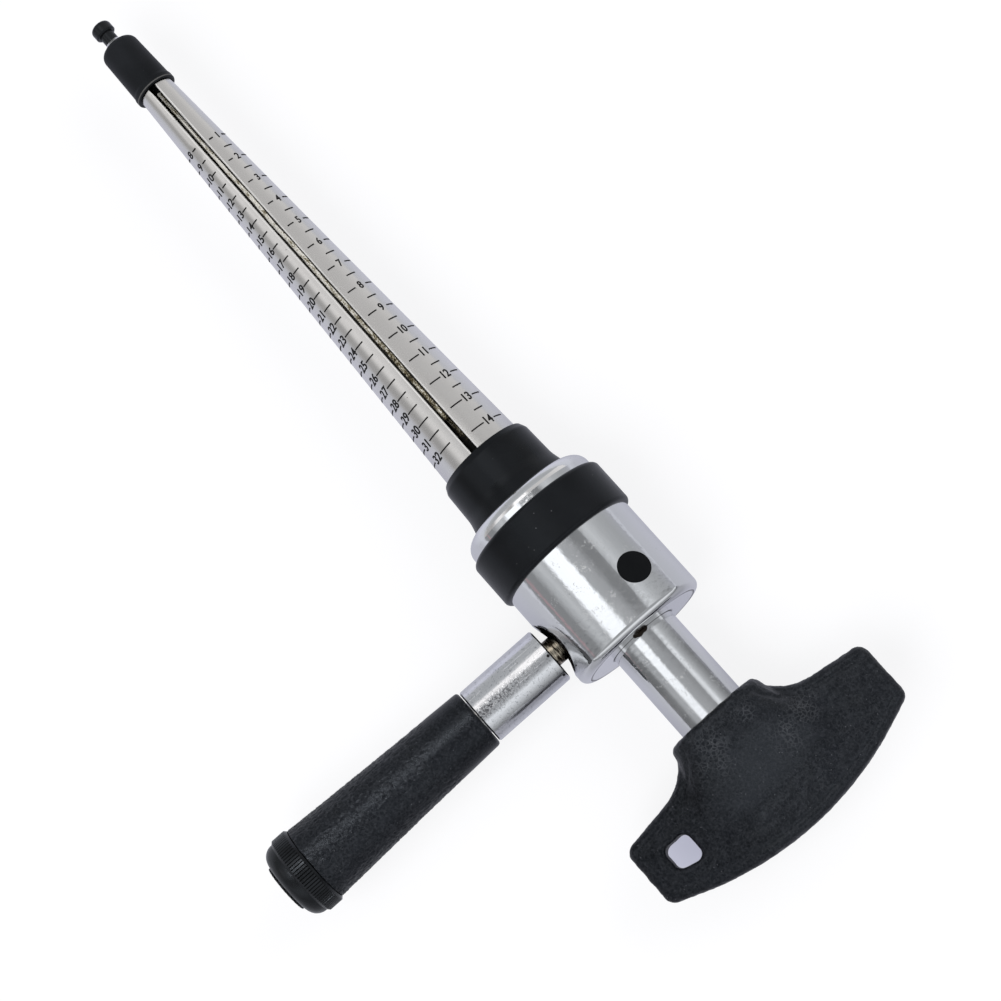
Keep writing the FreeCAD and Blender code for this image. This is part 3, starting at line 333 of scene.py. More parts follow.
def greasy_steel(name):
    """Bright steel specked with old grease and ring dust, worst towards the collar, and painted
    black as shade beside a band along the slot.
    """
    m = Surface(name)
    blotch = m.noise(1.0, detail=6, rough=0.7, where=m.stretched((300, 900, 900)))
    grains = m.noise(2600, detail=3, rough=0.7)
    mixed = m.math("ADD", m.math("MULTIPLY", blotch, 0.6), m.math("MULTIPLY", grains, 0.4))
    x, y, z = m.axes("XYZ")
    soiled = m.ramp(
        m.math("DIVIDE", x, MANDREL_LENGTH * MM),
        [
            (0.0, 0.33), (0.05, 0.17), (0.10, 0.10), (0.30, 0.085),
            (0.42, 0.02), (0.8, 0.0), (1.0, 0.03),
        ],
    )
    mixed = m.math("SUBTRACT", mixed, m.math("SUBTRACT", soiled, 0.03))
    grease = m.ramp(
        mixed,
        [
            (0.36, (0.006, 0.005, 0.003)), (0.42, (0.10, 0.075, 0.03)),
            (0.46, (0.34, 0.31, 0.22)), (0.52, (0.74, 0.72, 0.66)),
        ],
    )
    # A band along the slot shows the specked metal; beside it all is painted black, as painted
    # shade in the slot.
    aside = m.turned(y, z, SLOT_TURN)
    wander = m.noise(1.0, detail=3, where=m.stretched((90, 200, 200)))
    aside = m.math("ADD", m.math("MULTIPLY", aside, 0.5 / MM), m.math("MULTIPLY", wander, 0.4))
    bright_share = m.math("ADD", aside, 0.2)
    bright_share = m.ramp(bright_share, [(0.10, 0.0), (0.15, 1.0), (0.60, 1.0), (0.66, 0.0)])
    m.colour(m.mix(bright_share, (0.008, 0.007, 0.005), grease))
    m.roughness(mixed, (0.3, 0.5), (0.6, 0.25))
    m.bump((mixed, 0.05))
    return m.set(Metallic=0.3, Specular_IOR_Level=0.3).material


def oily_dark(name, glint=(0.045, 0.030, 0.018)):
    """Steel gone brown-black under oil."""
    m = Surface(name)
    film = m.noise(420, detail=5, rough=0.65)
    spots = m.ramp(m.noise(900, detail=3), [(0.56, 0.0), (0.66, 1.0)])
    base = m.mix(film, (0.006, 0.0045, 0.0035), (0.022, 0.016, 0.012))
    m.colour(m.mix(spots, base, glint))
    m.roughness(film, (0.3, 0.22), (0.7, 0.5))
    m.bump((film, 0.02))
    return m.set(Metallic=0.6, Specular_IOR_Level=0.2).material


def oiled_stud(name):
    """Turned steel stud, brassy where it is worn bright and dark with oil elsewhere."""
    m = Surface(name)
    turning = m.noise(1.0, detail=3, where=m.stretched((400, 3000, 400)))
    film = m.noise(300, detail=4, rough=0.65)
    bright_share = m.math("ADD", m.math("MULTIPLY", turning, 0.5), m.math("MULTIPLY", film, 0.5))
    bright_share = m.ramp(bright_share, [(0.48, 0.0), (0.58, 1.0)])
    m.colour(m.mix(bright_share, (0.03, 0.022, 0.015), (0.60, 0.53, 0.42)))
    m.roughness(turning, (0.3, 0.16), (0.7, 0.32))
    m.bump((turning, 0.006), (film, 0.01))
    return m.set(Metallic=1.0).material


BLACK_TINT = (0.82, 0.90, 1.0, 1.0)


def black_rubber(name, tone=0.0022, rough=0.32, dust=0.5, lip=None):
    """Matt black rubber with a faint bloom and specks of dust, and a painted highlight round a lip
    at that x.
    """
    m = Surface(name)
    grain = m.noise(1800, detail=3)
    bloom = m.noise(55, detail=4)
    sparse = m.ramp(m.noise(130, detail=2), [(0.58, 0.0), (0.66, dust)])
    dusty = m.math("MULTIPLY", m.specks(420, 0.045, 0.07), sparse)
    shade = m.ramp(bloom, [(0.36, 0.0), (0.64, 1.0)])
    base = m.mix(shade, tinted(tone, 0.4, 0.42, 0.5), tinted(tone, 1.8, 1.9, 2.2))
    base = m.mix(dusty, base, (0.20, 0.20, 0.21))
    if lip:
        # Painted highlight: a greyer ring round the lip.
        (x,) = m.axes("X")
        near = m.math("MULTIPLY", m.away(x, lip), 1 / MM)
        base = m.mix(m.ramp(near, [(0.12, 1.0), (0.22, 0.0)]), base, (0.07, 0.068, 0.065))
    m.colour(base)
    m.roughness(bloom, (0.3, rough - 0.06), (0.7, rough + 0.06))
    m.bump((grain, 0.006), (bloom, 0.08))
    return m.set(Specular_IOR_Level=0.26, Specular_Tint=BLACK_TINT).material


def moulded_black(name, handle=False):
    """Black moulding whose grain is greyer on its veins, partly its own tone and partly a painted
    highlight, strongest in patches.
    """
    m = Surface(name)
    walls = m.cells(850, feature="DISTANCE_TO_EDGE", where=m.warped(900, 0.7 * MM))
    veins = m.ramp(walls, [(0.02, 1.0), (0.16, 0.0)], smooth=True)
    x, y = m.axes("XY")
    patches = m.ramp(m.noise(260, detail=3), [(0.36, 0.2), (0.52, 1.0)])
    if handle:
        where = 0.12
    else:
        where = m.ramp(m.math("MULTIPLY", y, 10), [(0.55, 0.0), (0.62, 0.16)])
    # Painted highlight: the veins are greyer in patches on the handle's flanks, where they catch
    # the light.
    for spot_x, spot_y, size in WRINKLE_SHEEN:
        away = m.root(m.squared(x, spot_x), m.squared(y, spot_y))
        spot = m.ramp(m.math("DIVIDE", away, 2 * size * MM), [(0.05, 0.75), (0.5, 0.0)])
        where = m.math("MAXIMUM", spot, where)
    veins = m.math("MULTIPLY", m.math("MULTIPLY", veins, patches), where)
    pores = m.noise(1500, detail=4, rough=0.65, warp=0.6)
    bloom = m.ramp(m.noise(55, detail=4), [(0.38, 0.0), (0.64, 1.0)])
    dust = m.math("MULTIPLY", m.specks(520), 0.5)
    base = m.mix(bloom, (0.0016, 0.0019, 0.0025), (0.0040, 0.0046, 0.0062))
    base = m.mix(veins, base, (0.042, 0.044, 0.048))
    base = m.mix(m.ramp(pores, [(0.48, 0.0), (0.66, 0.6)]), base, (0.022, 0.023, 0.027))
    m.colour(m.mix(dust, base, (0.11, 0.11, 0.12)))
    m.roughness(pores, (0.3, 0.24), (0.7, 0.40))
    m.bump((veins, 0.08), (pores, 0.06))
    if handle:
        # The wing on the lever's side is duller, and the hub shinier.
        dull_wing = m.ramp(m.math("DIVIDE", y, 50 * MM), [(0.20, 0.34), (0.36, 0.20)])
        from_hub = m.root(m.squared(x, HUB[0]), m.squared(y, HUB[1]))
        polished = m.ramp(m.math("DIVIDE", from_hub, 40 * MM), [(0.10, 0.14), (0.42, 0.0)])
        m.link(m.math("ADD", dull_wing, polished), m.bsdf.inputs["Specular IOR Level"])
    return m.set(Specular_IOR_Level=0.27, Specular_Tint=BLACK_TINT).material


def plain_black(name, rough, gloss, tone=0.004):
    """Smooth black finish with faint scuffs."""
    m = Surface(name)
    scuff = m.noise(420, detail=5)
    m.colour(m.mix(scuff, tinted(tone, 0.5, 0.5, 0.5), tinted(tone, 1.8, 1.9, 2.1)))
    m.roughness(scuff, (0.3, rough - 0.10), (0.7, rough + 0.10))
    m.bump((scuff, 0.02))
    return m.set(Specular_IOR_Level=gloss, Specular_Tint=BLACK_TINT).material


def turned_bronze(name):
    """Bronze with fine turning lines round the tool's axis."""
    m = Surface(name)
    rings = m.noise(1.0, detail=3, where=m.stretched((7000, 300, 300)))
    m.colour(m.mix(rings, (0.50, 0.33, 0.15), (0.66, 0.47, 0.24)))
    m.roughness(rings, (0.3, 0.28), (0.7, 0.42))
    m.bump((rings, 0.004))
    return m.set(Metallic=1.0).material


def laser_ink(name):
    """Black oxide left by a laser on the steel."""
    m = Surface(name)
    patchy = m.noise(2600, detail=3)
    m.colour(m.mix(patchy, (0.004, 0.004, 0.004), (0.014, 0.013, 0.013)))
    m.roughness(patchy, (0.3, 0.45), (0.7, 0.65))
    m.bump((patchy, 0.004))
    return m.set(Specular_IOR_Level=0.15).material


def opening_oil(m):
    """Painted shade on the walls of the barrel's lever opening."""
    x, y, z = m.axes("XYZ")
    from_axis = m.root(m.squared(y), m.squared(z))
    inside = m.math("LESS_THAN", from_axis, (BARREL_RADIUS - 0.3) * MM)
    lever_side = m.math("GREATER_THAN", y, 10 * MM)
    near = m.math("LESS_THAN", m.away(x, LEVER_X), 9.5 * MM)
    return m.math("MULTIPLY", inside, m.math("MULTIPLY", lever_side, near))


def seam_dirt(m):
    """Dirt in the end plate's seams: round its edge and round the screw."""
    y, z = m.axes("YZ")
    from_axis = m.math("DIVIDE", m.root(m.squared(y), m.squared(z)), 20 * MM)
    return m.ramp(from_axis, [(0.495, 1.0), (0.515, 0.0), (0.846, 0.0), (0.856, 1.0)])


STEEL = ground_steel("ground_steel")
MANDREL_STEEL = ground_steel("mandrel_steel", slots=True)
RUBBER = black_rubber("black_rubber")
GRAIN = moulded_black("moulded_black")
HANDLE_GRAIN = moulded_black("handle_black", handle=True)
SMOOTH_BLACK = plain_black("smooth_black", rough=0.28, gloss=0.30)
BRONZE = turned_bronze("turned_bronze")
INK = laser_ink("laser_ink")
GREASE = oily_dark("old_grease", glint=(0.010, 0.007, 0.005))

FINISHES = {
    "barrel": chrome("bright_chrome", dirt_and_shade=opening_oil),
    "end_plate": chrome("plate_chrome", ripple=0.02, dirt_and_shade=seam_dirt),
    "nose_collar": black_rubber("collar_black", rough=0.30, dust=0.25),
    "grip_band": RUBBER,
    "pivot_pins": plain_black("pin_black", rough=0.50, gloss=0.14, tone=0.002),
    "tip_sleeve": black_rubber(
        "sleeve_black", tone=0.004, rough=0.55, dust=0.8, lip=SLEEVE_LIP_X
    ),
    "tip_bush": STEEL,
    "tip_screw": SMOOTH_BLACK,
    "wedge_bar": greasy_steel("greasy_steel"),
    "drive_screw": chrome("shank_chrome", rough=(0.04, 0.14), ripple=0.014),
    "swivel_pin": STEEL,
    "thrust_washer": BRONZE,
    "thrust_nut": BRONZE,
    "t_handle": HANDLE_GRAIN,
    "lever_yoke": oily_dark("oily_steel"),
    "lever_neck": oiled_stud("oiled_stud"),
    "lever_ferrule": ferrule_chrome("ferrule_chrome"),
    "lever_rod": STEEL,
    "lever_grip": GRAIN,
    "cap_ring": SMOOTH_BLACK,
    "end_cap": SMOOTH_BLACK,
    "end_disc": SMOOTH_BLACK,
}


def dress_frame():
    """Give every carried-over node its material; those not listed are the mandrel's segments."""
    for name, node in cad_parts.items():
        finish = FINISHES.get(name, MANDREL_STEEL)
        for slot in node.material_slots:
            slot.material = finish


dress_frame()


# --- Moulded skins with their grain ---

noise.seed_set(1)  # without a seed, noise_vector takes its offset from the clock


def smoothstep(value, low, high):
    share = np.clip((value - low) / (high - low), 0.0, 1.0)
    return share * share * (3 - 2 * share)


def bell(value, middle, width):
    """1 at the middle, falling to nothing on both sides."""
    return np.exp(-(((value - middle) / width) ** 2))


def skin(node, voxel, material, body):
    """Evenly meshed copy of a node's solid, which it stands for."""
    piece = bpy.data.objects.new(node + "_skin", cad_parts[node].data.copy())
    bpy.context.collection.objects.link(piece)
    weld = piece.modifiers.new("weld", "WELD")
    weld.merge_threshold = 0.01 * MM
    even = piece.modifiers.new("even", "REMESH")
    even.mode = "VOXEL"
    even.voxel_size = voxel * MM
    even.use_smooth_shade = True
    bpy.context.view_layer.update()
    evaluated = piece.evaluated_get(bpy.context.evaluated_depsgraph_get())
    mesh = bpy.data.meshes.new_from_object(evaluated)
    piece.modifiers.clear()
    piece.data = mesh
    mesh.materials.clear()
    mesh.materials.append(material)
    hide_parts(node)
    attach(piece, body)
    return mesh


def read_vectors(items, name):
    flat = np.empty(len(items) * 3)
    items.foreach_get(name, flat)
    return flat.reshape(-1, 3)


def write_points(mesh, points):
    mesh.vertices.foreach_set("co", (points * MM).ravel())
    mesh.update()


def relax(mesh, points, weight, rounds):
    """Draw each point towards the mean of its neighbours, by its own weight."""
    ends = np.empty(len(mesh.edges) * 2, dtype=np.int32)
    mesh.edges.foreach_get("vertices", ends)
    first, second = ends[0::2], ends[1::2]
    total = len(points)
    neighbours = np.bincount(ends, minlength=total)
    for _ in range(rounds):
        for axis in range(3):
            column = points[:, axis].copy()
            near = np.bincount(first, column[second], total)
            near = near + np.bincount(second, column[first], total)
            points[:, axis] = column + 0.5 * weight * (near / neighbours - column)


def pebbles(point, cell):
    """Leather grain at a point: 0 in a crease, 1 on a pebble."""
    bend = noise.noise_vector(point / (1.8 * cell)) * 0.45
    near, far = noise.voronoi(point / cell + bend)[0][:2]
    return min((far - near) / 0.32, 1.0)


def distance_to(points, targets):
    """Distance in plan from each point to the nearest target."""
    tree = kdtree.KDTree(len(targets))
    for i, target in enumerate(targets):
        tree.insert((target[0], target[1], 0.0), i)
    tree.balance()
    return np.array([tree.find((point[0], point[1], 0.0))[2] for point in points])


def handle_skin():
    """T-handle whose hub flows into the wings, with a grained, grooved rim and wrinkled flanks."""
    voxel = 0.42
    bore_depth = 26
    grain_cell, grain_depth = 1.6, 0.17
    unevenness = 0.13
    groove_inset, groove_width, groove_depth = 2.8, 0.6, 0.34
    throat_radius = SHANK_RADIUS - 0.12  # closes on the shank at the mouth of the bore

    mesh = skin("t_handle", voxel, HANDLE_GRAIN, "handle")
    points = read_vectors(mesh.vertices, "co") / MM
    turn = math.radians(HANDLE_TURN)
    cosine, sine = math.cos(turn), math.sin(turn)
    flatten = np.array([[1, 0, 0], [0, cosine, -sine], [0, sine, cosine]])
    points = points @ flatten.T
    drop = HANDLE_FRONT - points[:, 0]
    from_axis = np.hypot(points[:, 1], points[:, 2])
    in_bore = (from_axis < SHANK_RADIUS + 0.4) & (drop < bore_depth)
    outline = points[(np.abs(points[:, 2]) < 0.7) & ~in_bore]
    inward = distance_to(points, outline)
    flow = smoothstep(inward, 1.0, 5.0) * smoothstep(drop, 0.8, 6.0) * ~in_bore
    relax(mesh, points, flow, rounds=150)
    write_points(mesh, points)

    normals = read_vectors(mesh.vertex_normals, "vector")
    side = np.abs(points[:, 1])
    flank = bell(side, 8.0, 4.5) * smoothstep(drop, 3.0, 7.0) * (1 - smoothstep(drop, 19.0, 26.0))
    rim = 1 - smoothstep(inward, 1.6, 2.8)
    wrinkle = np.maximum(flank, 0.55 * rim)
    height = np.zeros(len(points))
    for i, point in enumerate(points):
        place = Vector(point)
        patch = 0.35 + 0.65 * max(noise.noise(place / 5.0) + 0.3, 0.0)
        height[i] = grain_depth * wrinkle[i] * patch * (0.6 - pebbles(place, grain_cell))
        height[i] += unevenness * noise.fractal(place / 2.0, 1.0, 2.0, 3)
    on_face = np.abs(normals[:, 2]) > 0.5
    height -= groove_depth * bell(inward, groove_inset, groove_width) * on_face
    points += normals * (height * ~in_bore)[:, None]
    throat = in_bore & (drop < 2.0) & (from_axis > SHANK_RADIUS - 0.5)
    points[throat, 1:] *= (throat_radius / from_axis[throat])[:, None]
    write_points(mesh, points @ flatten)


def grip_skin():
    """Lever grip with a leather grain that fades out near the ferrule."""
    voxel = 0.36
    fade = 6.0
    coarse_cell, coarse_depth = 1.8, 0.17
    fine_cell, fine_depth = 1.0, 0.13
    fine_shift = Vector((31.0, 17.0, 5.0))  # so that the two grains don't line up

    mesh = skin("lever_grip", voxel, GRAIN, "lever")
    points = read_vectors(mesh.vertices, "co") / MM
    normals = read_vectors(mesh.vertex_normals, "vector")
    grained = smoothstep(points[:, 1], GRIP_GRAIN_START, GRIP_GRAIN_START + fade)
    height = np.zeros(len(points))
    for i, point in enumerate(points):
        if grained[i] == 0.0:
            continue
        place = Vector(point)
        patch = 0.6 + 0.8 * max(noise.noise(place / 6.0) + 0.2, 0.0)
        coarse = coarse_depth * patch * (pebbles(place, coarse_cell) - 1.0)
        height[i] = coarse + fine_depth * (pebbles(place + fine_shift, fine_cell) - 1.0)
    points += normals * (height * grained)[:, None]
    write_points(mesh, points)


handle_skin()
grip_skin()


# --- Marks and grease ---

TICK_WIDTH = 0.38
MARK_LIFT = 0.04
VIEW_TURN = 4.0  # degrees from +Z towards the lever at which the scales' middle lies
DIGIT_TALL = 0.7  # height of a digit in the font's own units
DIGIT_BOLD = 0.022  # added to the strokes, in the same units


def on_taper(x, angle):
    """Point just over the mandrel; angle in degrees away from the lever, off the scales' middle."""
    turn = math.radians(angle - VIEW_TURN)
    radius = mandrel_radius(x) + MARK_LIFT
    return Vector((x, -radius * math.sin(turn), radius * math.cos(turn))) * MM


def mesh_piece(name, points, faces, material, body, slot):
    mesh = bpy.data.meshes.new(name)
    mesh.from_pydata([tuple(point) for point in points], [], faces)
    mesh.materials.append(material)
    mesh.update()
    piece = bpy.data.objects.new(name, mesh)
    bpy.context.collection.objects.link(piece)
    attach(piece, body)
    return piece


def add_tick(points, faces, x, first, last):
    """Thin arc across the taper from one angle to another."""
    steps = 10
    start = len(points)
    for i in range(steps + 1):
        angle = first + (last - first) * i / steps
        points.append(on_taper(x - TICK_WIDTH / 2, angle))
        points.append(on_taper(x + TICK_WIDTH / 2, angle))
    for i in range(steps):
        a = start + 2 * i
        faces.append((a, a + 1, a + 3, a + 2))


def glyph_outline(text, height):
    """Flat mesh of a text, centred, in millimetres: (points, faces)."""
    curve = bpy.data.curves.new("glyph", "FONT")
    curve.body = text
    curve.align_x = "CENTER"
    curve.align_y = "CENTER"
    curve.resolution_u = 4
    curve.offset = DIGIT_BOLD
    holder = bpy.data.objects.new("glyph", curve)
    mesh = bpy.data.meshes.new_from_object(holder)
    points = [(v.co.x * height / DIGIT_TALL, v.co.y * height / DIGIT_TALL) for v in mesh.vertices]
    faces = [tuple(p.vertices) for p in mesh.polygons]
    bpy.data.objects.remove(holder)
    bpy.data.curves.remove(curve)
    bpy.data.meshes.remove(mesh)
    return points, faces


def add_text(points, faces, text, x, angle, height, squeeze):
    """Text wrapped on the taper, upright towards the tip."""
    flat, polygons = glyph_outline(text, height)
    start = len(points)
    per_degree = math.radians(1.0) * mandrel_radius(x)
    for across, up in flat:
        points.append(on_taper(x + up, angle + across * squeeze / per_degree))
    faces.extend(tuple(start + i for i in polygon) for polygon in polygons)


def between(small, large, share):
    return small + (large - small) * share


def near_scale():
    """Sizes 1 to 14 on the side away from the lever, with half sizes between."""
    smallest, largest = 1, 14
    start, pitch = 4.6, 8.51
    points, faces = [], []
    for size in range(smallest, largest + 1):
        x = start + pitch * (largest - size)
        share = (size - smallest) / (largest - smallest)
        add_tick(points, faces, x, between(18, 10.5, share), between(29, 31.5, share))
        middle, height = between(44.5, 40, share), between(2.05, 2.5, share)
        add_text(points, faces, str(size), x, middle, height, squeeze=0.88)
        add_tick(points, faces, x, between(58, 51, share), between(80, 69, share))
        if size < largest:
            add_tick(points, faces, x - pitch / 2, 34, between(59, 49, share))
    return points, faces


def far_scale():
    """Sizes 8 to 32 on the lever's side."""
    smallest, largest = 8, 32
    start, pitch = 6.4, 4.57
    points, faces = [], []
    for size in range(smallest, largest + 1):
        x = start + pitch * (largest - size)
        share = (size - smallest) / (largest - smallest)
        add_tick(points, faces, x, -between(23, 20, share), -between(36, 43, share))
        middle, height = -between(49, 53, share), between(2.2, 2.6, share)
        add_text(points, faces, str(size), x, middle, height, squeeze=0.95)
        add_tick(points, faces, x, -64, -between(80, 88, share))
    return points, faces


def punch_marks():
    """Two small dark pricks in the ferrule, next to its end."""
    y, radius, steps = FERRULE_START + 0.85, 0.42, 14
    reach = FERRULE_RADIUS + 0.015
    points, faces = [], []
    for angle in (-7.0, -58.0):
        start = len(points)
        for i in range(steps):
            around = 2 * math.pi * i / steps
            turn = math.radians(angle) + radius * math.cos(around) / FERRULE_RADIUS
            x, z = LEVER_X + reach * math.sin(turn), reach * math.cos(turn)
            points.append(Vector((x, y + radius * math.sin(around), z)) * MM)
        faces.append(tuple(range(start, start + steps)))
    return points, faces


def grease_cushion():
    """Old grease pressed out of the end plate's notch on to the screw."""
    back, length, height = -62.95, 1.05, 0.55
    half_angle, lean = 14.0, 3.0
    columns, rows = 24, 12
    points, faces = [], []
    for i in range(columns + 1):
        across = 2 * i / columns - 1
        reach = math.sqrt(max(1 - across * across, 0.0))
        for j in range(rows + 1):
            along = j / rows
            swell = reach * math.sqrt(max(1 - along * along, 0.0))
            radius = SHANK_RADIUS + 0.04 + height * swell
            turn = math.radians(half_angle * across + lean)
            x = back - length * along * reach * (1 + 0.12 * math.sin(7 * across))
            points.append(Vector((x, radius * math.sin(turn), radius * math.cos(turn))) * MM)
    for i in range(columns):
        for j in range(rows):
            a = i * (rows + 1) + j
            faces.append((a, a + rows + 1, a + rows + 2, a + 1))
    return points, faces


mesh_piece("notch_grease", *grease_cushion(), GREASE, "housing", "greased_steel")
mesh_piece("ferrule_punch_marks", *punch_marks(), INK, "lever", "black_oxide")
mesh_piece("near_scale_marks", *near_scale(), INK, "segment_b", "ground_steel")
mesh_piece("far_scale_marks", *far_scale(), INK, "segment_a", "ground_steel")


# --- Stage, light and camera ---

FLOOR_HALF = 1.5
FLOOR_SEEN = 0.80  # share of the floor's own glow in what the camera and mirrors see
# Oval of shade under the handle, in millimetres: x, y, half width and half length.
HANDLE_SHADE = (-110.0, 0.0, 11.0, 40.0)


def studio_floor():
    """Pale floor that the tool lies on; the camera sees it white, with the tool's soft shadow."""
    low = cad_low[2] - 0.0001
    mesh = bpy.data.meshes.new("floor")
    half = FLOOR_HALF
    corners = [(-half, -half, low), (half, -half, low), (half, half, low), (-half, half, low)]
    mesh.from_pydata(corners, [], [(0, 1, 2, 3)])
    floor = bpy.data.objects.new("floor", mesh)
    bpy.context.collection.objects.link(floor)
    m = Surface("floor_paper")
    m.set(Roughness=0.9, Base_Color=(0.80, 0.80, 0.84, 1))
    x, y = m.axes("XY")

    # What bright work mirrors: lavender near the tool, and darker towards the handle.
    aside = m.math("ABSOLUTE", y)
    mirrored = m.ramp(
        aside, [(0.02, (0.60, 0.61, 0.72)), (0.10, (0.56, 0.58, 0.64)), (0.4, (0.54, 0.56, 0.61))]
    )
    along = m.math("ADD", m.math("MULTIPLY", x, 2.0), 0.5)
    shaded = m.ramp(along, [(0.30, 0.42), (0.36, 0.75), (0.50, 0.75), (0.56, 1.02)])
    mirrored = m.mix(1.0, mirrored, shaded, blend="MULTIPLY")

    # What the camera sees: white, with the oval of shade.
    shade_x, shade_y, half_width, half_length = HANDLE_SHADE
    lengthways = m.math("DIVIDE", m.squared(y, shade_y), (half_length * MM) ** 2)
    crossways = m.math("DIVIDE", m.squared(x, shade_x), (half_width * MM) ** 2)
    shade = m.ramp(m.root(lengthways, crossways), [(0.80, 1.0), (1.0, 0.0)])
    plain = m.mix(shade, (1.0, 1.0, 1.0), (0.50, 0.51, 0.63))

    path = m.nodes.new("ShaderNodeLightPath")
    camera_ray, glossy_ray = path.outputs["Is Camera Ray"], path.outputs["Is Glossy Ray"]
    glow = m.nodes.new("ShaderNodeEmission")
    m.link(m.mix(camera_ray, mirrored, plain), glow.inputs["Color"])
    blend = m.nodes.new("ShaderNodeMixShader")
    seen = m.math("MULTIPLY", m.math("MAXIMUM", camera_ray, glossy_ray), FLOOR_SEEN)
    m.link(seen, blend.inputs["Fac"])
    m.link(m.bsdf.outputs["BSDF"], blend.inputs[1])
    m.link(glow.outputs["Emission"], blend.inputs[2])
    m.link(blend.outputs["Shader"], m.nodes["Material Output"].inputs["Surface"])
    mesh.materials.append(m.material)


# What bright work mirrors: a grey room with long soft strips of light and shade that run along
# the tool. Each strip is (degrees, light), in degrees round the tool's axis from straight up
# towards the lever. The strips change along the axis, so that mandrel, barrel and shank each
# mirror their own; the ferrule mirrors the last set, in degrees from straight up towards the tip.
MANDREL_STRIPS = [
    (-85, 0.80), (-70, 0.74), (-50, 0.65), (-12, 0.62), (-7, 1.25), (17, 1.25), (23, 0.42),
    (32, 0.50), (46, 1.00), (57, 0.95), (66, 0.46), (82, 0.42), (92, 0.62), (120, 0.68),
]
BARREL_STRIPS = [
    (-110, 0.50), (-75, 0.42), (-57, 0.48), (-40, 0.64), (-33, 0.55), (-26, 0.24), (-15, 0.24),
    (-5, 0.40), (10, 0.46), (14, 1.30), (38, 1.25), (43, 0.50), (52, 0.60), (61, 0.48), (70, 0.27),
    (88, 0.28), (96, 0.45), (120, 0.45),
]
SHANK_STRIPS = [
    (-120, 0.52), (-98, 0.34), (-80, 0.20), (-65, 0.31), (-48, 0.50), (-38, 0.95), (-30, 0.80),
    (-26, 0.32), (-12, 0.36), (12, 0.42), (18, 1.15), (37, 1.15), (43, 0.42), (57, 0.40),
    (66, 0.20), (84, 0.16), (94, 0.20), (101, 0.32), (120, 0.45),
]
FERRULE_STRIPS = [
    (-130, 0.24), (-97, 0.13), (-84, 0.28), (-72, 0.48), (-50, 0.85), (-38, 0.92), (-30, 0.55),
    (-20, 0.34), (0, 0.40), (14, 0.55), (24, 1.15), (34, 0.70), (44, 0.48), (70, 0.44),
    (95, 0.52), (130, 0.55),
]
WINDOW = 2.2  # light of the narrow window that black rubber and plastic show as a soft sheen
COOL = (0.97, 1.0, 1.03)
WARM = (1.01, 0.995, 0.985)
LAVENDER = (0.96, 0.97, 1.10)  # cast of the floor, low on both sides
RED_LINE = (0.42, 0.31, 0.33)  # thin warm line in the barrel's shade on the lever's side
ROOM_GREY = (0.62, 0.62, 0.64)  # the room's light on dull surfaces
WHITE = (1.0, 1.0, 1.0)


def room_strips(shader, turn, strips, cast):
    """Colour of the room over an angle in radians."""
    share = shader.math("ADD", shader.math("DIVIDE", turn, 2 * math.pi), 0.5)
    stops = []
    for degrees, light in strips:
        tint = LAVENDER if abs(degrees) > 95 else cast
        stops.append(((degrees + 180) / 360, tinted(light, *tint)))
    return shader.ramp(share, stops)


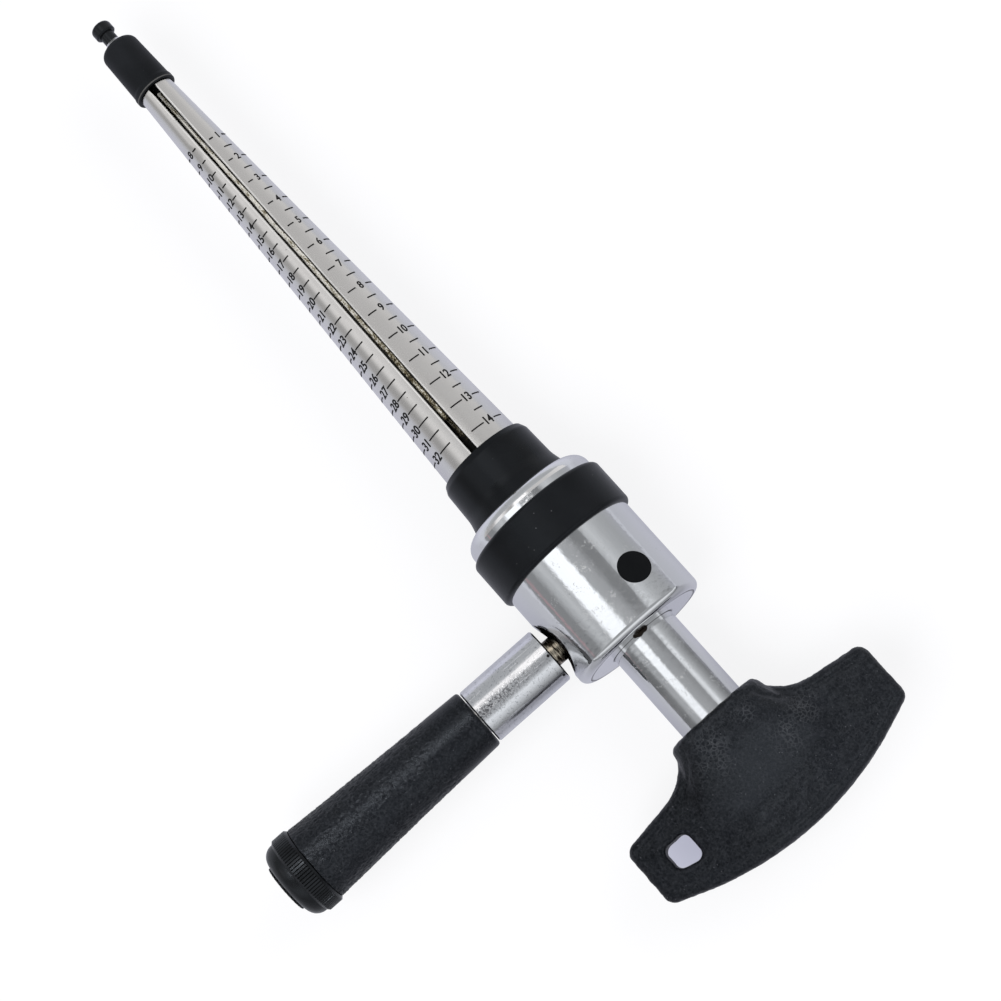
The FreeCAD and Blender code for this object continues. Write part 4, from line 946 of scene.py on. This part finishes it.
def studio_world():
    """Plain pale room; bright work shows it as long soft strips."""
    world = bpy.data.worlds.new("studio")
    bpy.context.scene.world = world
    world.use_nodes = True
    world.node_tree.nodes.clear()
    shader = Shader(world.node_tree, "Generated")
    x, y, z = shader.axes("XYZ")
    round_tool = shader.math("ARCTAN2", y, z)
    round_lever = shader.math("ARCTAN2", x, z)
    half_turns = shader.math("DIVIDE", round_tool, math.pi)

    mandrel = room_strips(shader, round_tool, MANDREL_STRIPS, WARM)
    barrel = room_strips(shader, round_tool, BARREL_STRIPS, COOL)
    line = shader.ramp(half_turns, [(0.450, 0.0), (0.463, 1.0), (0.472, 1.0), (0.480, 0.0)])
    barrel = shader.mix(line, barrel, RED_LINE)
    shank = room_strips(shader, round_tool, SHANK_STRIPS, COOL)
    ferrule = room_strips(shader, round_lever, FERRULE_STRIPS, COOL)

    # From one piece's strips to the next along x: where the change starts, ends and leads to.
    room = ferrule
    for start, end, strips in (
        (0.04, 0.06, shank), (0.115, 0.13, barrel), (0.235, 0.27, mandrel), (0.56, 0.62, ferrule),
    ):
        room = shader.mix(shader.ramp(x, [(start, 0.0), (end, 1.0)]), room, strips)

    window_x = shader.ramp(x, [(0.222, 0.0), (0.232, 1.0), (0.256, 1.0), (0.266, 0.0)])
    window_turn = shader.ramp(
        shader.math("ADD", half_turns, 0.5), [(0.41, 0.0), (0.43, 1.0), (0.60, 1.0), (0.62, 0.0)]
    )
    in_window = shader.math("MULTIPLY", window_x, window_turn)
    room = shader.mix(in_window, room, (WINDOW, WINDOW, WINDOW))

    path = shader.nodes.new("ShaderNodeLightPath")
    colour = shader.mix(path.outputs["Is Glossy Ray"], ROOM_GREY, room)
    colour = shader.mix(path.outputs["Is Camera Ray"], colour, WHITE)
    background = shader.nodes.new("ShaderNodeBackground")
    shader.link(colour, background.inputs["Color"])
    output = shader.nodes.new("ShaderNodeOutputWorld")
    shader.link(background.outputs["Background"], output.inputs["Surface"])


def softbox(name, place, aim, size, power):
    """Rectangular lamp that isn't mirrored."""
    light = bpy.data.lights.new(name, "AREA")
    light.shape = "RECTANGLE"
    light.size, light.size_y = size
    light.energy = power
    lamp = bpy.data.objects.new(name, light)
    lamp.location = place
    direction = Vector(aim) - Vector(place)
    lamp.rotation_euler = direction.to_track_quat("-Z", "Y").to_euler()
    lamp.visible_glossy = False
    bpy.context.collection.objects.link(lamp)
    return lamp


def grip_sheen():
    """Long soft lamp over the lever that only its black pieces mirror, as a sheen along the top."""
    lamp = softbox(
        "sheen_light", place=(0.149, 0.11, 0.78), aim=(-0.051, 0.07, 0.0),
        size=(0.30, 0.09), power=1.0,
    )
    lamp.visible_glossy = True
    blacks = bpy.data.collections.new("sheen_receivers")
    for name in ("lever_grip_skin", "cap_ring", "end_cap"):
        blacks.objects.link(bpy.data.objects[name])
    lamp.light_linking.receiver_collection = blacks


CAMERA_PLACE = (-137.7, 41.0, 586.5)  # millimetres
CAMERA_TURN = (11.462, 5.300, -130.767)  # degrees


def studio_camera():
    """Long lens above the tool, tip to the upper left of the picture."""
    data = bpy.data.cameras.new("camera")
    data.sensor_width = 36.0
    data.lens = 82.72
    data.clip_start = 0.01
    camera = bpy.data.objects.new("camera", data)
    camera.location = Vector(CAMERA_PLACE) * MM
    camera.rotation_euler = Euler([math.radians(v) for v in CAMERA_TURN])
    bpy.context.collection.objects.link(camera)
    bpy.context.scene.camera = camera


studio_floor()
studio_world()
softbox("key_light", place=(-0.2, 0.5, 0.8), aim=(0.0, 0.0, 0.0), size=(0.6, 0.5), power=7.0)
softbox("fill_light", place=(0.1, -0.6, 0.7), aim=(0.0, 0.0, 0.0), size=(0.6, 0.5), power=3.0)
grip_sheen()
studio_camera()
bpy.context.scene.view_settings.view_transform = "Standard"
